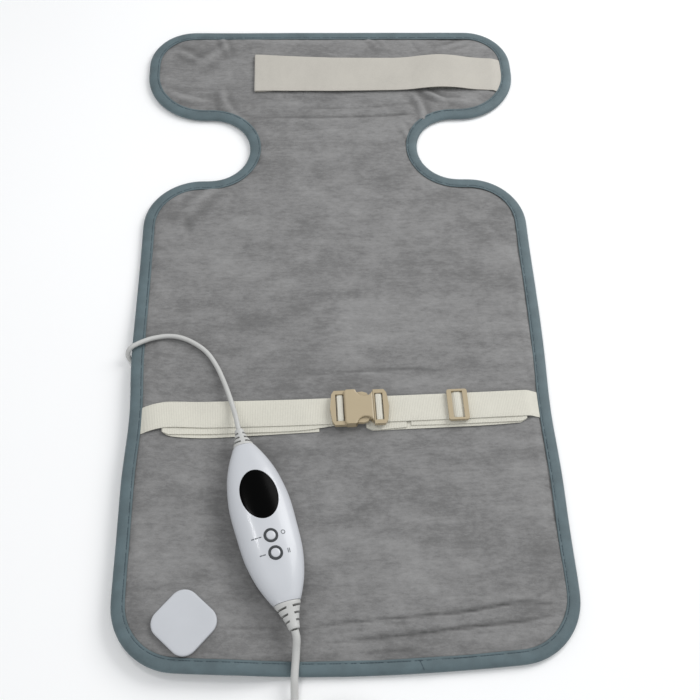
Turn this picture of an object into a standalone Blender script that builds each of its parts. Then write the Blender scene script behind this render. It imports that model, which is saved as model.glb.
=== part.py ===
"""Electric heating pad for the back and neck, lying flat and face up.

Metres, +Z up. +Y runs from the hem to the collar, +X to the wearer's buckle side. The origin is on
the surface that the pad lies on, under the middle of its outline.
"""

from math import atan2, copysign, cos, degrees, hypot, pi, radians, sin, sqrt

import bmesh
import bpy
from mathutils import Matrix, Vector

MM = 0.001
GAP = 0.3 * MM                      # between solids that touch in the real object

# outline of the pad
PAD_LENGTH = 0.693
PAD_WIDTH = 0.380
COLLAR_WIDTH = 0.394
COLLAR_DEPTH = 0.1255
NECK_WIDTH = 0.173                  # fabric left between the two neck notches
NECK_GAP = 0.081                    # height of a neck notch
SHOULDER_RADIUS = 0.055
HEM_CORNER_RADIUS = 0.056
COLLAR_LOWER_RADIUS = 0.063
COLLAR_UPPER_RADIUS = 0.048
HEM_BOW_RADIUS = 1.9

# layers of the pad, from the floor up
BACK_THICKNESS = 1.0 * MM
CARRIER_THICKNESS = 0.6 * MM
WIRE_DIAMETER = 1.4 * MM
WADDING_THICKNESS = 1.7 * MM
PLUSH_THICKNESS = 1.3 * MM
BINDING_WIDTH = 11.5 * MM
BINDING_WALL = 0.9 * MM
BINDING_HEIGHT = 6.2 * MM
BINDING_RISE = 0.2 * MM             # underside of the binding above the surface it lies on
SEAM_INSET = 3.4 * MM               # cut edge of the covers inside the binding
WIRE_PITCH = 0.062

# the lower left corner lies raised on the cord and the connector
LIFT = 7.6 * MM
LIFT_RAMP = 0.062
LIFT_STEPS = 5
LIFT_UP_THE_SIDE = 0.4065           # where the fold line meets the left edge, above the hem
LIFT_ALONG_THE_HEM = 0.162          # where it meets the hem, from the left edge

# connector on the lower left corner
CONNECTOR_FROM_SIDE = 0.0596
CONNECTOR_FROM_HEM = 0.0425
CONNECTOR_TURN = radians(47)
COVER_SIDE = 0.0415
COVER_CORNER = 0.0105
COVER_THICKNESS = 3.4 * MM
BASE_SIDE = 0.038
NECK_RADIUS = 0.013
NECK_BORE_RADIUS = 0.0095
TERMINAL_FLOOR = 2.0 * MM
CONNECTOR_SCREW_RADIUS = 1.1 * MM
CONNECTOR_SCREW_CIRCLE = 11.2 * MM
GLAND_LENGTH = 0.020
GLAND_DIAMETER = 5.8 * MM

# straps
WEBBING_WIDTH = 0.025
WEBBING_THICKNESS = 1.0 * MM
WAIST_FROM_HEM = 0.2256
WAIST_TILT = radians(1.5)
ELASTIC_WIDTH = 0.050
ELASTIC_THICKNESS = 1.3 * MM
NECK_STRAP_FROM_TOP = 0.0655
NECK_STRAP_FOLD_X = -0.0817
NECK_STRAP_HINGE_X = 0.1710
HOOK_TAPE_LENGTH = 0.030
HOOK_TAPE_THICKNESS = 1.2 * MM

# side release buckle and slider
BUCKLE_X = 0.0149
BUCKLE_LENGTH = 0.0522
BUCKLE_WIDTH = 0.033
BUCKLE_HEIGHT = 9.0 * MM
BUCKLE_FLOOR = 10.4 * MM            # underside of the socket above the surface
BUCKLE_FRAME_HEIGHT = 4.4 * MM
BUCKLE_WALL = 1.5 * MM
ARM_HEIGHT = 3.8 * MM
BAR_OUTER = 0.0196                  # webbing in the outer slot, from the buckle's centre
BAR_INNER = 0.0147                  # webbing in the slot beside the body
SLIDER_X = 0.1026
SLIDER_LENGTH = 0.0183
SLIDER_WIDTH = 0.0295
SLIDER_HEIGHT = 3.4 * MM

# handset
HANDSET_FROM_SIDE = 0.1222
HANDSET_FROM_HEM = 0.1221
HANDSET_YAW = radians(15.4)
HANDSET_ROLL = radians(8)
HANDSET_STATIONS = [                # along the handset, half width, half height
    (-0.0700, 0.0115, 0.0080),
    (-0.0520, 0.0193, 0.0100),
    (-0.0310, 0.0242, 0.0114),
    (-0.0080, 0.0256, 0.0120),
    (0.0160, 0.0257, 0.0120),
    (0.0380, 0.0222, 0.0110),
    (0.0540, 0.0168, 0.0093),
    (0.0690, 0.0092, 0.0070),
]
HANDSET_ROUNDNESS = 2.3
HANDSET_WALL = 1.8 * MM
DISPLAY_Y = 0.0205
DISPLAY_LENGTH = 0.0440
DISPLAY_WIDTH = 0.0315
BUTTON_Y = {"power_button": -0.0165, "mode_button": -0.0313}
BUTTON_RADIUS = 4.15 * MM
RING_RADIUS = 6.05 * MM
BUTTON_TRAVEL = 0.8 * MM
BOARD_THICKNESS = 1.6 * MM
BOARD_WIDTH = 0.032
HANDSET_SCREWS = {"handset_screw_lower": -0.0560, "handset_screw_upper": 0.0520}

# cords
PAD_CORD_DIAMETER = 4.3 * MM
MAINS_CORD_DIAMETER = 6.2 * MM
COIL_RADIUS = 0.034                 # middle of the turns
COIL_CENTRE = (-0.0101, -0.4160)
COIL_BUNDLE = (0.0190, 0.0178)      # width and height of the wound turns
PAD_CORD_ROUTE = [
    (-0.0906, -0.1416, 0.0203),
    (-0.0917, -0.1370, 0.0201),
    (-0.0938, -0.1275, 0.0182),
    (-0.0969, -0.1164, 0.0152),
    (-0.1013, -0.1025, 0.0140),
    (-0.1066, -0.0879, 0.0116),
    (-0.1128, -0.0738, 0.0100),
    (-0.1213, -0.0607, 0.0100),
    (-0.1321, -0.0513, 0.0100),
    (-0.1447, -0.0447, 0.0101),
    (-0.1570, -0.0429, 0.0110),
    (-0.1700, -0.0458, 0.0130),
    (-0.1790, -0.0500, 0.0148),
    (-0.1868, -0.0545, 0.0155),
    (-0.1901, -0.0566, 0.0146),
    (-0.1924, -0.0586, 0.0123),
    (-0.1933, -0.0607, 0.0090),
    (-0.1924, -0.0628, 0.0058),
    (-0.1901, -0.0648, 0.0034),
    (-0.1868, -0.0669, 0.0025),
    (-0.1838, -0.0700, 0.0024),
    (-0.1826, -0.0745, 0.0024),
    (-0.1822, -0.0830, 0.0024),
    (-0.1812, -0.0950, 0.0024),
    (-0.1795, -0.1090, 0.0024),
    (-0.1762, -0.1320, 0.0024),
    (-0.1732, -0.1650, 0.0024),
    (-0.1720, -0.2000, 0.0025),
    (-0.1716, -0.2300, 0.0027),
    (-0.1710, -0.2500, 0.0030),
    (-0.1680, -0.2660, 0.0032),
    (-0.1620, -0.2750, 0.0033),
    (-0.1600, -0.2764, 0.0032),
]
MAINS_CORD_ROUTE = [
    (-0.0433, -0.3132, 0.0203),
    (-0.0420, -0.3190, 0.0187),
    (-0.0424, -0.3270, 0.0143),
    (-0.0430, -0.3350, 0.0119),
    (-0.0437, -0.3430, 0.0111),
    (-0.0441, -0.3510, 0.0098),
    (-0.0441, -0.3590, 0.0064),
    (-0.0441, -0.3670, 0.0042),
    (-0.0441, -0.3760, 0.0036),
    (-0.0441, -0.3851, 0.0036),
]
MAINS_TAIL_ROUTE = [
    (0.0211, -0.4500, 0.0036),
    (0.0300, -0.4500, 0.0037),
    (0.0390, -0.4496, 0.0046),
    (0.0480, -0.4490, 0.0062),
    (0.0560, -0.4485, 0.0069),
]
PLUG_LENGTH = 0.036
PLUG_WIDTH = 0.0265
PLUG_HEIGHT = 0.0137
PIN_RADIUS = 2.0 * MM
PIN_LENGTH = 0.019
PIN_SPACING = 0.0186

HEM = -PAD_LENGTH / 2
TOP = PAD_LENGTH / 2
SIDE = PAD_WIDTH / 2
COLLAR_Y = TOP - COLLAR_DEPTH
SHOULDER_Y = COLLAR_Y - NECK_GAP
NOTCH_X = (NECK_WIDTH + NECK_GAP) / 2

CARRIER_Z = BACK_THICKNESS + GAP
WIRE_Z = CARRIER_Z + CARRIER_THICKNESS + GAP
WADDING_Z = WIRE_Z + WIRE_DIAMETER + GAP
PLUSH_Z = WADDING_Z + WADDING_THICKNESS + GAP
PAD_TOP = PLUSH_Z + PLUSH_THICKNESS

CONNECTOR_AT = Vector((-SIDE + CONNECTOR_FROM_SIDE, HEM + CONNECTOR_FROM_HEM, 0))
COVER_Z = LIFT + PAD_TOP + GAP
HOLE_RADIUS = NECK_RADIUS + 0.5 * MM
HANDSET_HALF_HEIGHT = max(height for _, _, height in HANDSET_STATIONS)
HANDSET_HALF_WIDTH = max(width for _, width, _ in HANDSET_STATIONS)
REACH_POWER = HANDSET_ROUNDNESS / (HANDSET_ROUNDNESS - 1)
HANDSET_Z = PAD_TOP + 1.5 * GAP + (
    (HANDSET_HALF_WIDTH * sin(HANDSET_ROLL)) ** REACH_POWER
    + (HANDSET_HALF_HEIGHT * cos(HANDSET_ROLL)) ** REACH_POWER
) ** (1 / REACH_POWER)
LAYER_1 = PAD_TOP + GAP + WEBBING_THICKNESS / 2
LAYER_2 = LAYER_1 + GAP + WEBBING_THICKNESS
LAYER_3 = LAYER_2 + GAP + WEBBING_THICKNESS
FRAME_LOW = BUCKLE_FLOOR + (BUCKLE_HEIGHT - BUCKLE_FRAME_HEIGHT) / 2
WRAP_TOP = FRAME_LOW + 2.4 * MM + GAP + WEBBING_THICKNESS / 2


# ---------------------------------------------------------------- scene and helpers

def start():
    """Empty the scene, and make the collections for the parts and for the cutters."""
    for old in list(bpy.data.objects):
        bpy.data.objects.remove(old, do_unlink=True)
    made = {}
    for name in ("heating_pad", "cutters"):
        made[name] = bpy.data.collections.new(name)
        bpy.context.scene.collection.children.link(made[name])
    return made["heating_pad"], made["cutters"]


PARTS, CUTTERS = start()


def material(name, colour, roughness, metallic=0.0):
    made = bpy.data.materials.new(name)
    made.use_nodes = True
    shader = made.node_tree.nodes["Principled BSDF"]
    shader.inputs["Base Color"].default_value = (*colour, 1.0)
    shader.inputs["Roughness"].default_value = roughness
    shader.inputs["Metallic"].default_value = metallic
    return made


PLUSH = material("grey_plush", (0.25, 0.25, 0.25), 0.95)
BINDING = material("binding_tape", (0.10, 0.16, 0.19), 0.85)
WADDING = material("white_wadding", (0.80, 0.80, 0.78), 0.95)
CARRIER = material("carrier_cloth", (0.72, 0.70, 0.64), 0.95)
WEBBING = material("cream_webbing", (0.62, 0.59, 0.50), 0.9)
HOOKS = material("hook_tape", (0.55, 0.53, 0.48), 0.9)
BUCKLE = material("tan_plastic", (0.48, 0.40, 0.27), 0.45)
SHELL = material("white_gloss_plastic", (0.70, 0.72, 0.74), 0.2)
BLACK = material("black_window", (0.01, 0.01, 0.012), 0.1)
RING = material("dark_ring", (0.06, 0.065, 0.07), 0.5)
BOOT = material("white_flexible_plastic", (0.62, 0.63, 0.62), 0.5)
BOARD = material("circuit_board", (0.03, 0.18, 0.08), 0.5)
STEEL = material("plated_steel", (0.6, 0.6, 0.6), 0.3, 1.0)
BRASS = material("nickel_plated_brass", (0.65, 0.62, 0.55), 0.25, 1.0)
WIRE = material("wire_jacket", (0.70, 0.20, 0.16), 0.6)
DARK = material("component_black", (0.03, 0.03, 0.03), 0.5)


def new_object(name, data, finish=None, parent=None, at=(0, 0, 0), turn=0.0):
    """Put a part in the collection; a part with no finish is a cutter."""
    part = bpy.data.objects.new(name, data)
    (PARTS if finish else CUTTERS).objects.link(part)
    if finish:
        data.materials.clear()
        data.materials.append(finish)
    else:
        part.hide_render = True
        part.display_type = "WIRE"
    part.parent = parent
    part.location = at
    part.rotation_euler = (0, 0, turn)
    return part


def empty(name, at, turn=(0, 0, 0)):
    """A frame that parts are placed in."""
    frame = bpy.data.objects.new(name, None)
    PARTS.objects.link(frame)
    frame.location = at
    frame.rotation_euler = turn
    return frame


def mesh_from(bm, name):
    bmesh.ops.recalc_face_normals(bm, faces=bm.faces)
    data = bpy.data.meshes.new(name)
    bm.to_mesh(data)
    bm.free()
    data.shade_smooth()
    data.set_sharp_from_angle(angle=radians(35))
    return data


def applied(part):
    """Turn a curve, or a mesh with modifiers, into the plain welded mesh that it shows."""
    bpy.context.view_layer.update()
    seen = part.evaluated_get(bpy.context.evaluated_depsgraph_get())
    data = bpy.data.meshes.new_from_object(seen)
    bm = bmesh.new()
    bm.from_mesh(data)
    bmesh.ops.remove_doubles(bm, verts=bm.verts, dist=0.00001)
    finish = part.data.materials[0] if part.data.materials else None
    name, parent, at, turn = part.name, part.parent, part.location.copy(), part.rotation_euler.z
    bpy.data.objects.remove(part, do_unlink=True)
    return new_object(name, mesh_from(bm, name), finish, parent, at, turn)


def skin(rings, cyclic=False):
    """Bridge a row of rings of points, capping the two ends unless the row closes on itself."""
    bm = bmesh.new()
    rows = [[bm.verts.new(point) for point in ring] for ring in rings]
    for near, far in zip(rows, rows[1:] + rows[:1] if cyclic else rows[1:]):
        for i in range(len(near)):
            j = (i + 1) % len(near)
            bm.faces.new((near[i], near[j], far[j], far[i]))
    if not cyclic:
        bm.faces.new(rows[0])
        bm.faces.new(rows[-1])
    return bm


def arc(centre, radius, start, end, steps):
    """Points of an arc from one angle to another, in degrees, with both its ends."""
    turns = [radians(start + (end - start) * i / steps) for i in range(steps + 1)]
    return [(centre[0] + radius * cos(a), centre[1] + radius * sin(a)) for a in turns]


def rounded_square(side, corner, steps=4):
    reach = side / 2 - corner
    points = []
    for i, (x, y) in enumerate(((reach, reach), (-reach, reach), (-reach, -reach), (reach, -reach))):
        points += arc((x, y), corner, 90 * i, 90 * i + 90, steps)
    return points


def flat(name, outlines, low, high, finish=None, **place):
    """A plate with a flat outline; any further outlines are holes in it."""
    curve = bpy.data.curves.new(name, "CURVE")
    curve.dimensions = "2D"
    curve.fill_mode = "BOTH"
    curve.extrude = (high - low) / 2
    for outline_points in outlines:
        spline = curve.splines.new("POLY")
        spline.points.add(len(outline_points) - 1)
        for point, (x, y) in zip(spline.points, outline_points):
            point.co = (x, y, 0, 1)
        spline.use_cyclic_u = True
    plate = applied(new_object(name, curve, finish, **place))
    plate.data.transform(Matrix.Translation((0, 0, (low + high) / 2)))
    return plate


def box(name, centre, size, finish=None, bevel=0.0, **place):
    bm = bmesh.new()
    bmesh.ops.create_cube(bm, size=1.0, matrix=Matrix.Translation(centre) @ Matrix.Diagonal((*size, 1)))
    made = new_object(name, mesh_from(bm, name), finish, **place)
    if bevel:
        round_edges(made, bevel)
    return made


def round_edges(part, width, segments=1):
    edges = part.modifiers.new("rounded_edges", "BEVEL")
    edges.width = width
    edges.segments = segments
    edges.limit_method = "ANGLE"
    edges.angle_limit = radians(50)


def rod(name, start_point, end_point, radius, finish=None, radius_2=None, sides=16, **place):
    """A round bar or cone between two points."""
    start_point, end_point = Vector(start_point), Vector(end_point)
    along = end_point - start_point
    stand = along.to_track_quat("Z", "Y").to_matrix().to_4x4()
    bm = bmesh.new()
    bmesh.ops.create_cone(
        bm, cap_ends=True, segments=sides, radius1=radius, depth=along.length,
        radius2=radius if radius_2 is None else radius_2,
        matrix=Matrix.Translation((start_point + end_point) / 2) @ stand,
    )
    return new_object(name, mesh_from(bm, name), finish, **place)


def screw_profile(name, profile, finish, closed, sides=20, **place):
    """Turn a profile of (radius, height) points about Z; a closed profile makes a ring."""
    count = len(profile)
    edges = [(i, (i + 1) % count) for i in range(count if closed else count - 1)]
    data = bpy.data.meshes.new(name)
    data.from_pydata([(r, 0, z) for r, z in profile], edges, [])
    part = new_object(name, data, finish, **place)
    turn = part.modifiers.new("turned", "SCREW")
    turn.steps = turn.render_steps = sides
    turn.use_merge_vertices = True
    turn.merge_threshold = 0.00001
    return part


def cut(part, *cutters, operation="DIFFERENCE"):
    for cutter in cutters:
        change = part.modifiers.new("cut", "BOOLEAN")
        change.operation = operation
        change.solver = "EXACT"
        change.object = cutter


def blend_curve(points, steps):
    """A smooth curve through all the points, as steps points for each stretch."""
    points = [Vector(p) for p in points]
    held = [2 * points[0] - points[1], *points, 2 * points[-1] - points[-2]]
    smooth = []
    for a, b, c, d in zip(held, held[1:], held[2:], held[3:]):
        for i in range(steps):
            t = i / steps
            smooth.append(
                0.5 * (2 * b + (c - a) * t + (2 * a - 5 * b + 4 * c - d) * t * t
                       + (3 * b - a - 3 * c + d) * t ** 3)
            )
    return smooth + [points[-1]]


def tube(name, points, diameter, finish):
    """A cord or wire along a row of points."""
    curve = bpy.data.curves.new(name, "CURVE")
    curve.dimensions = "3D"
    curve.bevel_depth = diameter / 2
    curve.bevel_resolution = 2
    curve.use_fill_caps = True
    spline = curve.splines.new("POLY")
    spline.points.add(len(points) - 1)
    for point, place in zip(spline.points, points):
        point.co = (*place, 1)
    return new_object(name, curve, finish)


def ribbon(name, path, width, thickness, finish, parent=None, at=(0, 0, 0)):
    """A flat band whose middle line is a path of (x, y, z), with its width along Y."""
    middle = [Vector(p) for p in path]
    rings = []
    for i, point in enumerate(middle):
        before = middle[max(i - 1, 0)]
        after = middle[min(i + 1, len(middle) - 1)]
        ways = [Vector((q.x - p.x, 0, q.z - p.z)) for p, q in ((before, point), (point, after))]
        ways = [way.normalized() for way in ways if way.length > 0]
        mean = sum(ways, Vector()).normalized()
        side = Vector((-mean.z, 0, mean.x)) * (thickness / 2 / max(mean.dot(ways[0]), 0.5))
        edge = Vector((0, width / 2, 0))
        rings.append([point - edge - side, point + edge - side, point + edge + side, point - edge + side])
    moved = [[corner - Vector(at) for corner in ring] for ring in rings]
    return new_object(name, mesh_from(skin(moved), name), finish, parent, at)


# ---------------------------------------------------------------- outline and lie of the pad

def half_outline(inset):
    """Right half of the pad's edge, from the middle of the hem to the middle of the collar."""
    bow = (0, HEM + HEM_BOW_RADIUS)
    corner = (
        SIDE - HEM_CORNER_RADIUS,
        bow[1] - sqrt((HEM_BOW_RADIUS - HEM_CORNER_RADIUS) ** 2 - (SIDE - HEM_CORNER_RADIUS) ** 2),
    )
    meet = degrees(atan2(corner[1] - bow[1], corner[0]))
    shoulder = min(SHOULDER_RADIUS, SIDE - NOTCH_X)
    lower = min(COLLAR_LOWER_RADIUS, COLLAR_WIDTH / 2 - NOTCH_X, COLLAR_DEPTH * 0.55)
    upper = min(COLLAR_UPPER_RADIUS, COLLAR_DEPTH * 0.44)
    notch = NECK_GAP / 2
    points = arc(bow, HEM_BOW_RADIUS - inset, -90, meet, 3)
    points += arc(corner, HEM_CORNER_RADIUS - inset, meet, 0, 5)[1:]
    points += arc((SIDE - shoulder, SHOULDER_Y - shoulder), shoulder - inset, 0, 90, 5)
    points += arc((NOTCH_X, COLLAR_Y - notch), notch + inset, 270, 90, 9)
    points += arc((COLLAR_WIDTH / 2 - lower, COLLAR_Y + lower), lower - inset, -90, 0, 5)
    points += arc((COLLAR_WIDTH / 2 - upper, TOP - upper), upper - inset, 0, 90, 5)
    return points + [(0, TOP - inset)]


def outline(inset):
    """The pad's whole edge moved in by inset, counter-clockwise from the middle of the hem."""
    right = half_outline(inset)
    return right + [(-x, y) for x, y in reversed(right[1:-1])]


def fold_line():
    """A point of the line where the raised corner begins, and the direction across it."""
    upper = Vector((-SIDE, HEM + LIFT_UP_THE_SIDE))
    lower = Vector((-SIDE + LIFT_ALONG_THE_HEM, HEM))
    along = (lower - upper).normalized()
    return upper, Vector((along.y, -along.x))


FOLD_POINT, FOLD_WAY = fold_line()


def strip_place(x, y):
    """How far a point lies across the strips that rise to the corner: 0 at the fold line."""
    return (Vector((x, y)) - FOLD_POINT).dot(FOLD_WAY) / LIFT_RAMP * LIFT_STEPS


def lift(x, y):
    """How high the pad's underside lies at a point, in straight strips along the fold line."""
    place = min(max(strip_place(x, y), 0.0), LIFT_STEPS)
    step = min(int(place), LIFT_STEPS - 1)
    low, high = ((s * s * (3 - 2 * s)) for s in (step / LIFT_STEPS, (step + 1) / LIFT_STEPS))
    return LIFT * (low + (high - low) * (place - step))


def lay(part, turn=0.0, at=(0, 0, 0)):
    """Bend a flat part of the pad over the raised corner; turn and at are its place on the pad."""
    to_pad = Matrix.Translation(at) @ Matrix.Rotation(turn, 4, "Z")
    bm = bmesh.new()
    bm.from_mesh(part.data)
    bm.transform(to_pad)
    way = Vector((*FOLD_WAY, 0))
    for step in range(LIFT_STEPS + 1):
        on_line = Vector((*FOLD_POINT, 0)) + way * (LIFT_RAMP * step / LIFT_STEPS)
        everything = bm.verts[:] + bm.edges[:] + bm.faces[:]
        bmesh.ops.bisect_plane(bm, geom=everything, dist=0.000001, plane_co=on_line, plane_no=way)
    for vertex in bm.verts:
        vertex.co.z += lift(vertex.co.x, vertex.co.y)
    bm.transform(to_pad.inverted())
    bm.to_mesh(part.data)
    bm.free()


def lay_route(points, z):
    """The (x, y) points of a route inside the pad, with one more wherever it crosses a strip line."""
    route = []
    for (x, y), (far_x, far_y) in zip(points, points[1:]):
        near, far = strip_place(x, y), strip_place(far_x, far_y)
        crossed = [line for line in range(LIFT_STEPS + 1) if (line - near) * (line - far) < 0]
        shares = [(line - near) / (far - near) for line in crossed]
        route += [(x + (far_x - x) * share, y + (far_y - y) * share) for share in [0.0, *sorted(shares)]]
    return [(x, y, z + lift(x, y)) for x, y in [*route, points[-1]]]


# ---------------------------------------------------------------- pad

def layer_ring(inset, z):
    return [(x, y, z) for x, y in outline(inset)]


def hole_outline():
    return arc(CONNECTOR_AT, HOLE_RADIUS, 0, 345, 23)


def hole_cutter():
    cutter = rod(
        "connector_hole_cutter", CONNECTOR_AT - Vector((0, 0, 0.02)), CONNECTOR_AT + Vector((0, 0, 0.03)),
        HOLE_RADIUS, sides=24,
    )
    return cutter


def cover_sheet(name, field_z, seam_z, thickness, cutter):
    """A face fabric: flat in the field, stepping to the seam height under the binding."""
    steps = (16.0 * MM, field_z), (12.0 * MM, seam_z), (SEAM_INSET, seam_z)
    rings = [layer_ring(inset, z) for inset, z in steps]
    rings += [layer_ring(inset, z + thickness) for inset, z in reversed(steps)]
    sheet = new_object(name, mesh_from(skin(rings), name), PLUSH)
    cut(sheet, cutter)
    sheet = applied(sheet)
    lay(sheet)


def pad_layers():
    cutter = hole_cutter()
    seam_low = BINDING_RISE + BINDING_WALL + GAP
    seam_high = BINDING_RISE + BINDING_HEIGHT - BINDING_WALL - GAP
    cover_sheet("back_cover", 0.0, seam_low, BACK_THICKNESS, cutter)
    cover_sheet("plush_cover", PLUSH_Z, seam_high - PLUSH_THICKNESS, PLUSH_THICKNESS, cutter)
    inner = outline(17.5 * MM)
    carrier = flat("heating_carrier", [inner, hole_outline()], CARRIER_Z, CARRIER_Z + CARRIER_THICKNESS,
                   CARRIER)
    lay(carrier)
    wadding = flat("wadding", [inner, hole_outline()], WADDING_Z, WADDING_Z + WADDING_THICKNESS, WADDING)
    lay(wadding)


def edge_binding():
    """Tape folded round the pad's edge, as a closed C-shaped section."""
    low, high = BINDING_RISE, BINDING_RISE + BINDING_HEIGHT
    middle, wall = (low + high) / 2, BINDING_WALL
    bend = 2.6 * MM
    outer = [(BINDING_WIDTH, high), (bend, high), (0.8 * MM, high - 0.9 * MM), (0, middle)]
    inner = [(BINDING_WIDTH, high - wall), (bend + 0.3 * MM, high - wall), (wall, middle)]
    section = outer + [(inset, 2 * middle - z) for inset, z in reversed(outer[:-1])]
    section += [(inset, 2 * middle - z) for inset, z in inner] + list(reversed(inner[:-1]))
    rings = [layer_ring(inset, z) for inset, z in section]
    lay(new_object("edge_binding", mesh_from(skin(rings, cyclic=True), "edge_binding"), BINDING))


def fold_x(y):
    """Where the fold line of the raised corner lies at a height on the pad."""
    return FOLD_POINT.x + (FOLD_POINT.y - y) * abs(FOLD_WAY.y / FOLD_WAY.x)


def heating_wire():
    """One wire sewn in rows across the pad, with both its ends at the connector."""
    margin, bend = 0.030, WIRE_PITCH / 2
    left, right = -SIDE + margin + 0.012, SIDE - margin
    low = HEM + 0.075
    rows = int((SHOULDER_Y - margin - low) / WIRE_PITCH) // 2 * 2 + 1
    points = [(CONNECTOR_AT.x + HOLE_RADIUS + 0.004, CONNECTOR_AT.y), (-SIDE + 0.095, CONNECTOR_AT.y + 0.002)]
    points += [(-SIDE + 0.125, low)]
    for row in range(rows - 1):
        y = low + row * WIRE_PITCH
        if row % 2 == 0:
            points += arc((right - bend, y + bend), bend, -90, 90, 6)
        else:
            turn = max(left, fold_x(y), fold_x(y + WIRE_PITCH)) + bend
            points += arc((turn, y + bend), bend, 270, 90, 6)
    top = low + (rows - 1) * WIRE_PITCH
    back, corner = 0.018, 0.025
    points += arc((right - back / 2, top + back / 2), back / 2, -90, 90, 5)
    side = -SIDE + margin - 0.004
    points += arc((side + corner, top + back - corner), corner, 90, 180, 4)
    points += [(side, CONNECTOR_AT.y + HOLE_RADIUS + 0.014), (side + 0.010, CONNECTOR_AT.y + 0.012)]
    points += [(CONNECTOR_AT.x - HOLE_RADIUS - 0.002, CONNECTOR_AT.y + 0.008)]
    tube("heating_wire", lay_route(points, WIRE_Z + WIRE_DIAMETER / 2), WIRE_DIAMETER, WIRE)


# ---------------------------------------------------------------- connector

def connector():
    frame = empty("connector_frame", CONNECTOR_AT, (0, 0, CONNECTOR_TURN))
    low, high = GAP, LIFT - GAP
    neck_top = COVER_Z - GAP
    base = flat("connector_base", [rounded_square(BASE_SIDE, 0.009)], low, high, SHELL, parent=frame)
    neck = rod("connector_neck", (0, 0, high - 1 * MM), (0, 0, neck_top), NECK_RADIUS, sides=24, parent=frame)
    bore = rod(
        "connector_bore", (0, 0, TERMINAL_FLOOR), (0, 0, neck_top + 1 * MM), NECK_BORE_RADIUS,
        sides=24, parent=frame,
    )
    cord_z = GAP + GLAND_DIAMETER / 2
    gland_hole = rod(
        "gland_hole", (0, NECK_BORE_RADIUS - 1 * MM, cord_z), (0, BASE_SIDE, cord_z),
        GLAND_DIAMETER / 2 - 0.1 * MM, sides=16, parent=frame,
    )
    cut(base, neck, operation="UNION")
    cut(base, bore, gland_hole)
    cover = flat(
        "connector_cover", [rounded_square(COVER_SIDE, COVER_CORNER, 6)],
        COVER_Z, COVER_Z + COVER_THICKNESS, SHELL, parent=frame,
    )
    screws = {}
    for name, sign in (("connector_screw_left", -1), ("connector_screw_right", 1)):
        x = sign * CONNECTOR_SCREW_CIRCLE
        hole = rod(name + "_hole", (x, 0, -1 * MM), (x, 0, COVER_Z + 2.2 * MM), CONNECTOR_SCREW_RADIUS + GAP,
                   sides=12, parent=frame)
        seat = rod(name + "_seat", (x, 0, -1 * MM), (x, 0, 2.6 * MM), 2.5 * MM, sides=16, parent=frame)
        cut(base, hole, seat)
        screws[name] = (x, hole)
    for name, (x, hole) in screws.items():
        cut(cover, hole)
        radius = CONNECTOR_SCREW_RADIUS
        profile = [(0, 0.6 * MM), (2.2 * MM, 0.6 * MM), (2.2 * MM, 2.3 * MM), (radius, 2.3 * MM)]
        profile += [(radius, COVER_Z + 1.8 * MM), (0, COVER_Z + 1.8 * MM)]
        screw_profile(name, list(reversed(profile)), STEEL, False, 12, parent=frame, at=(x, 0, 0))
    round_edges(cover, 0.9 * MM, 2)
    block_low = TERMINAL_FLOOR + GAP
    box("terminal_block", (0, 0, block_low + 3.4 * MM), (11 * MM, 8 * MM, 6.8 * MM), BOOT, parent=frame)
    fuse_z = block_low + 6.8 * MM + GAP + 1.7 * MM
    rod("thermal_fuse", (-5.5 * MM, 0, fuse_z), (5.5 * MM, 0, fuse_z), 1.7 * MM, STEEL, sides=12,
        parent=frame)
    start_y = BASE_SIDE / 2 + GAP
    wide, slim = GLAND_DIAMETER / 2, PAD_CORD_DIAMETER / 2 + 0.2 * MM
    stub = wide - 0.1 * MM - GAP
    sections = [(NECK_BORE_RADIUS + GAP, stub), (start_y, stub), (start_y, wide),
                (start_y + GLAND_LENGTH, slim)]
    rings = [[(x, y, z + cord_z) for x, z in arc((0, 0), radius, 0, 337.5, 15)] for y, radius in sections]
    new_object("connector_gland", mesh_from(skin(rings), "connector_gland"), BOOT, frame)


# ---------------------------------------------------------------- neck strap

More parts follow.
